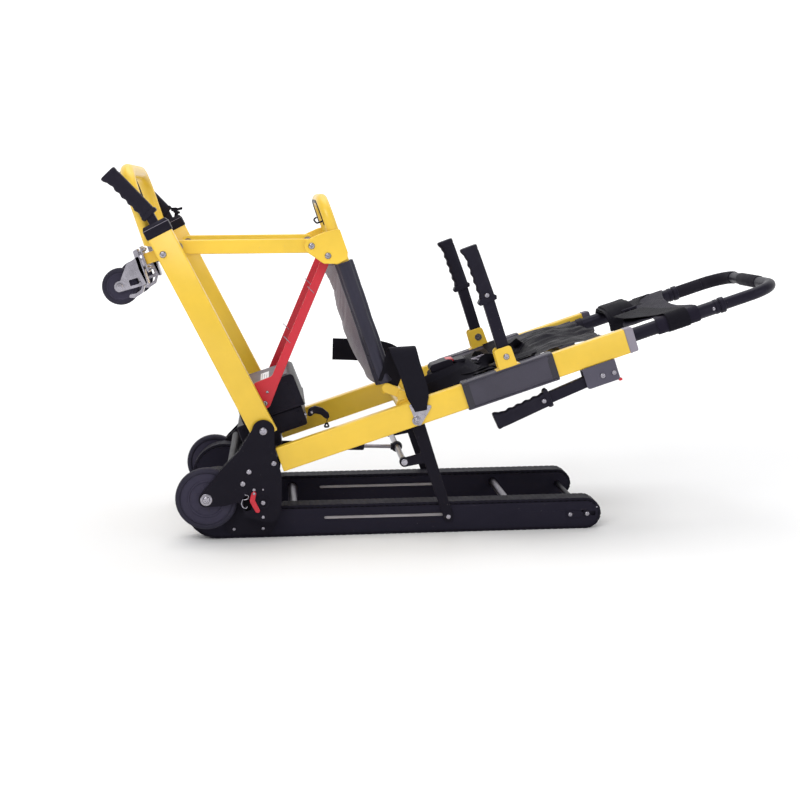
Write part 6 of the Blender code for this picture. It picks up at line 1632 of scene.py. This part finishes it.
# ------------------------------------------------------------------ stage: floor, light, camera
def stage():
    for nm, prof, glow in (("floor", [(-30.0, 0.0), (6.0, 0.0)], 0.0),
                           ("backdrop", [(6.0 + 8.0 * math.sin(rad(a)), 8.0 - 8.0 * math.cos(rad(a))) for a in range(0, 91, 6)] + [(14.0, 30.0)], 0.56)):
        me = bpy.data.meshes.new(nm)
        bm = bmesh.new()
        a = [bm.verts.new((-40.0, y, z)) for y, z in prof]
        b = [bm.verts.new((40.0, y, z)) for y, z in prof]
        for i in range(len(prof) - 1):
            bm.faces.new((a[i], b[i], b[i + 1], a[i + 1]))
        bm.to_mesh(me)
        bm.free()
        me.shade_smooth()
        ob = bpy.data.objects.new(nm, me)
        SC.collection.objects.link(ob)
        M = Mat("studio_" + nm, 0.75, 0.0, 0.0, 0.2)
        M.color(M.ramp(M.noise(0.7, 2.0), [(0.3, [0.88, 0.88, 0.885]), (0.7, [0.91, 0.91, 0.915])]))
        M.b.inputs["Emission Color"].default_value = (1, 1, 1, 1)
        M.b.inputs["Emission Strength"].default_value = glow
        if not glow:
            far = M.n("ShaderNodeVectorMath")
            far.operation = "LENGTH"
            M.link(M.co, far.inputs[0])
            mr = M.n("ShaderNodeMapRange")
            mr.interpolation_type = "SMOOTHSTEP"
            mr.inputs["From Min"].default_value, mr.inputs["From Max"].default_value = 0.9, 4.2
            mr.inputs["To Min"].default_value, mr.inputs["To Max"].default_value = 0.0, 0.56
            M.link(far.outputs["Value"], mr.inputs["Value"])
            M.link(mr.outputs[0], M.b.inputs["Emission Strength"])
        me.materials.append(M.m)
    w = bpy.data.worlds.new("studio")
    SC.world = w
    w.use_nodes = True
    w.node_tree.nodes["Background"].inputs[0].default_value = (1.0, 1.0, 1.0, 1)
    w.node_tree.nodes["Background"].inputs[1].default_value = 0.46

    def area(name, loc, at, size, power):
        L = bpy.data.lights.new(name, "AREA")
        L.shape = "RECTANGLE"
        L.size, L.size_y = size
        L.energy = power
        o = bpy.data.objects.new(name, L)
        SC.collection.objects.link(o)
        o.location = loc
        o.rotation_mode = "QUATERNION"
        o.rotation_quaternion = (Vector(at) - Vector(loc)).to_track_quat("-Z", "Y")
    area("key", (-1.6, -3.4, 3.2), (0.0, 0.0, 0.3), (2.6, 2.0), 82)
    area("fill", (2.8, -2.6, 1.8), (0.1, 0.0, 0.3), (2.4, 2.0), 26)
    area("top", (0.0, 0.6, 3.6), (0.0, 0.0, 0.3), (3.0, 2.2), 52)
    SC.view_settings.view_transform = "Standard"
    SC.view_settings.look = "None"
    SC.view_settings.exposure = 0.0
    SC.view_settings.gamma = 1.0


def camera():
    psi, th, rho = rad(4.778), rad(8.077), rad(-0.5347)
    f = Vector((math.sin(psi) * math.cos(th), math.cos(psi) * math.cos(th), -math.sin(th)))
    r = Vector((math.cos(psi), -math.sin(psi), 0.0))
    u = r.cross(f)
    r2 = r * math.cos(rho) + u * math.sin(rho)
    u2 = -r * math.sin(rho) + u * math.cos(rho)
    cam = bpy.data.cameras.new("camera")
    cam.lens, cam.sensor_width = 65.25, 36.0
    cam.clip_start, cam.clip_end = 0.05, 200.0
    o = bpy.data.objects.new("camera", cam)
    SC.collection.objects.link(o)
    o.matrix_world = Matrix(((r2.x, u2.x, -f.x, -0.31096 + SX * MM), (r2.y, u2.y, -f.y, -3.0525),
                             (r2.z, u2.z, -f.z, 0.68323), (0, 0, 0, 1)))
    SC.camera = o


stage()
camera()
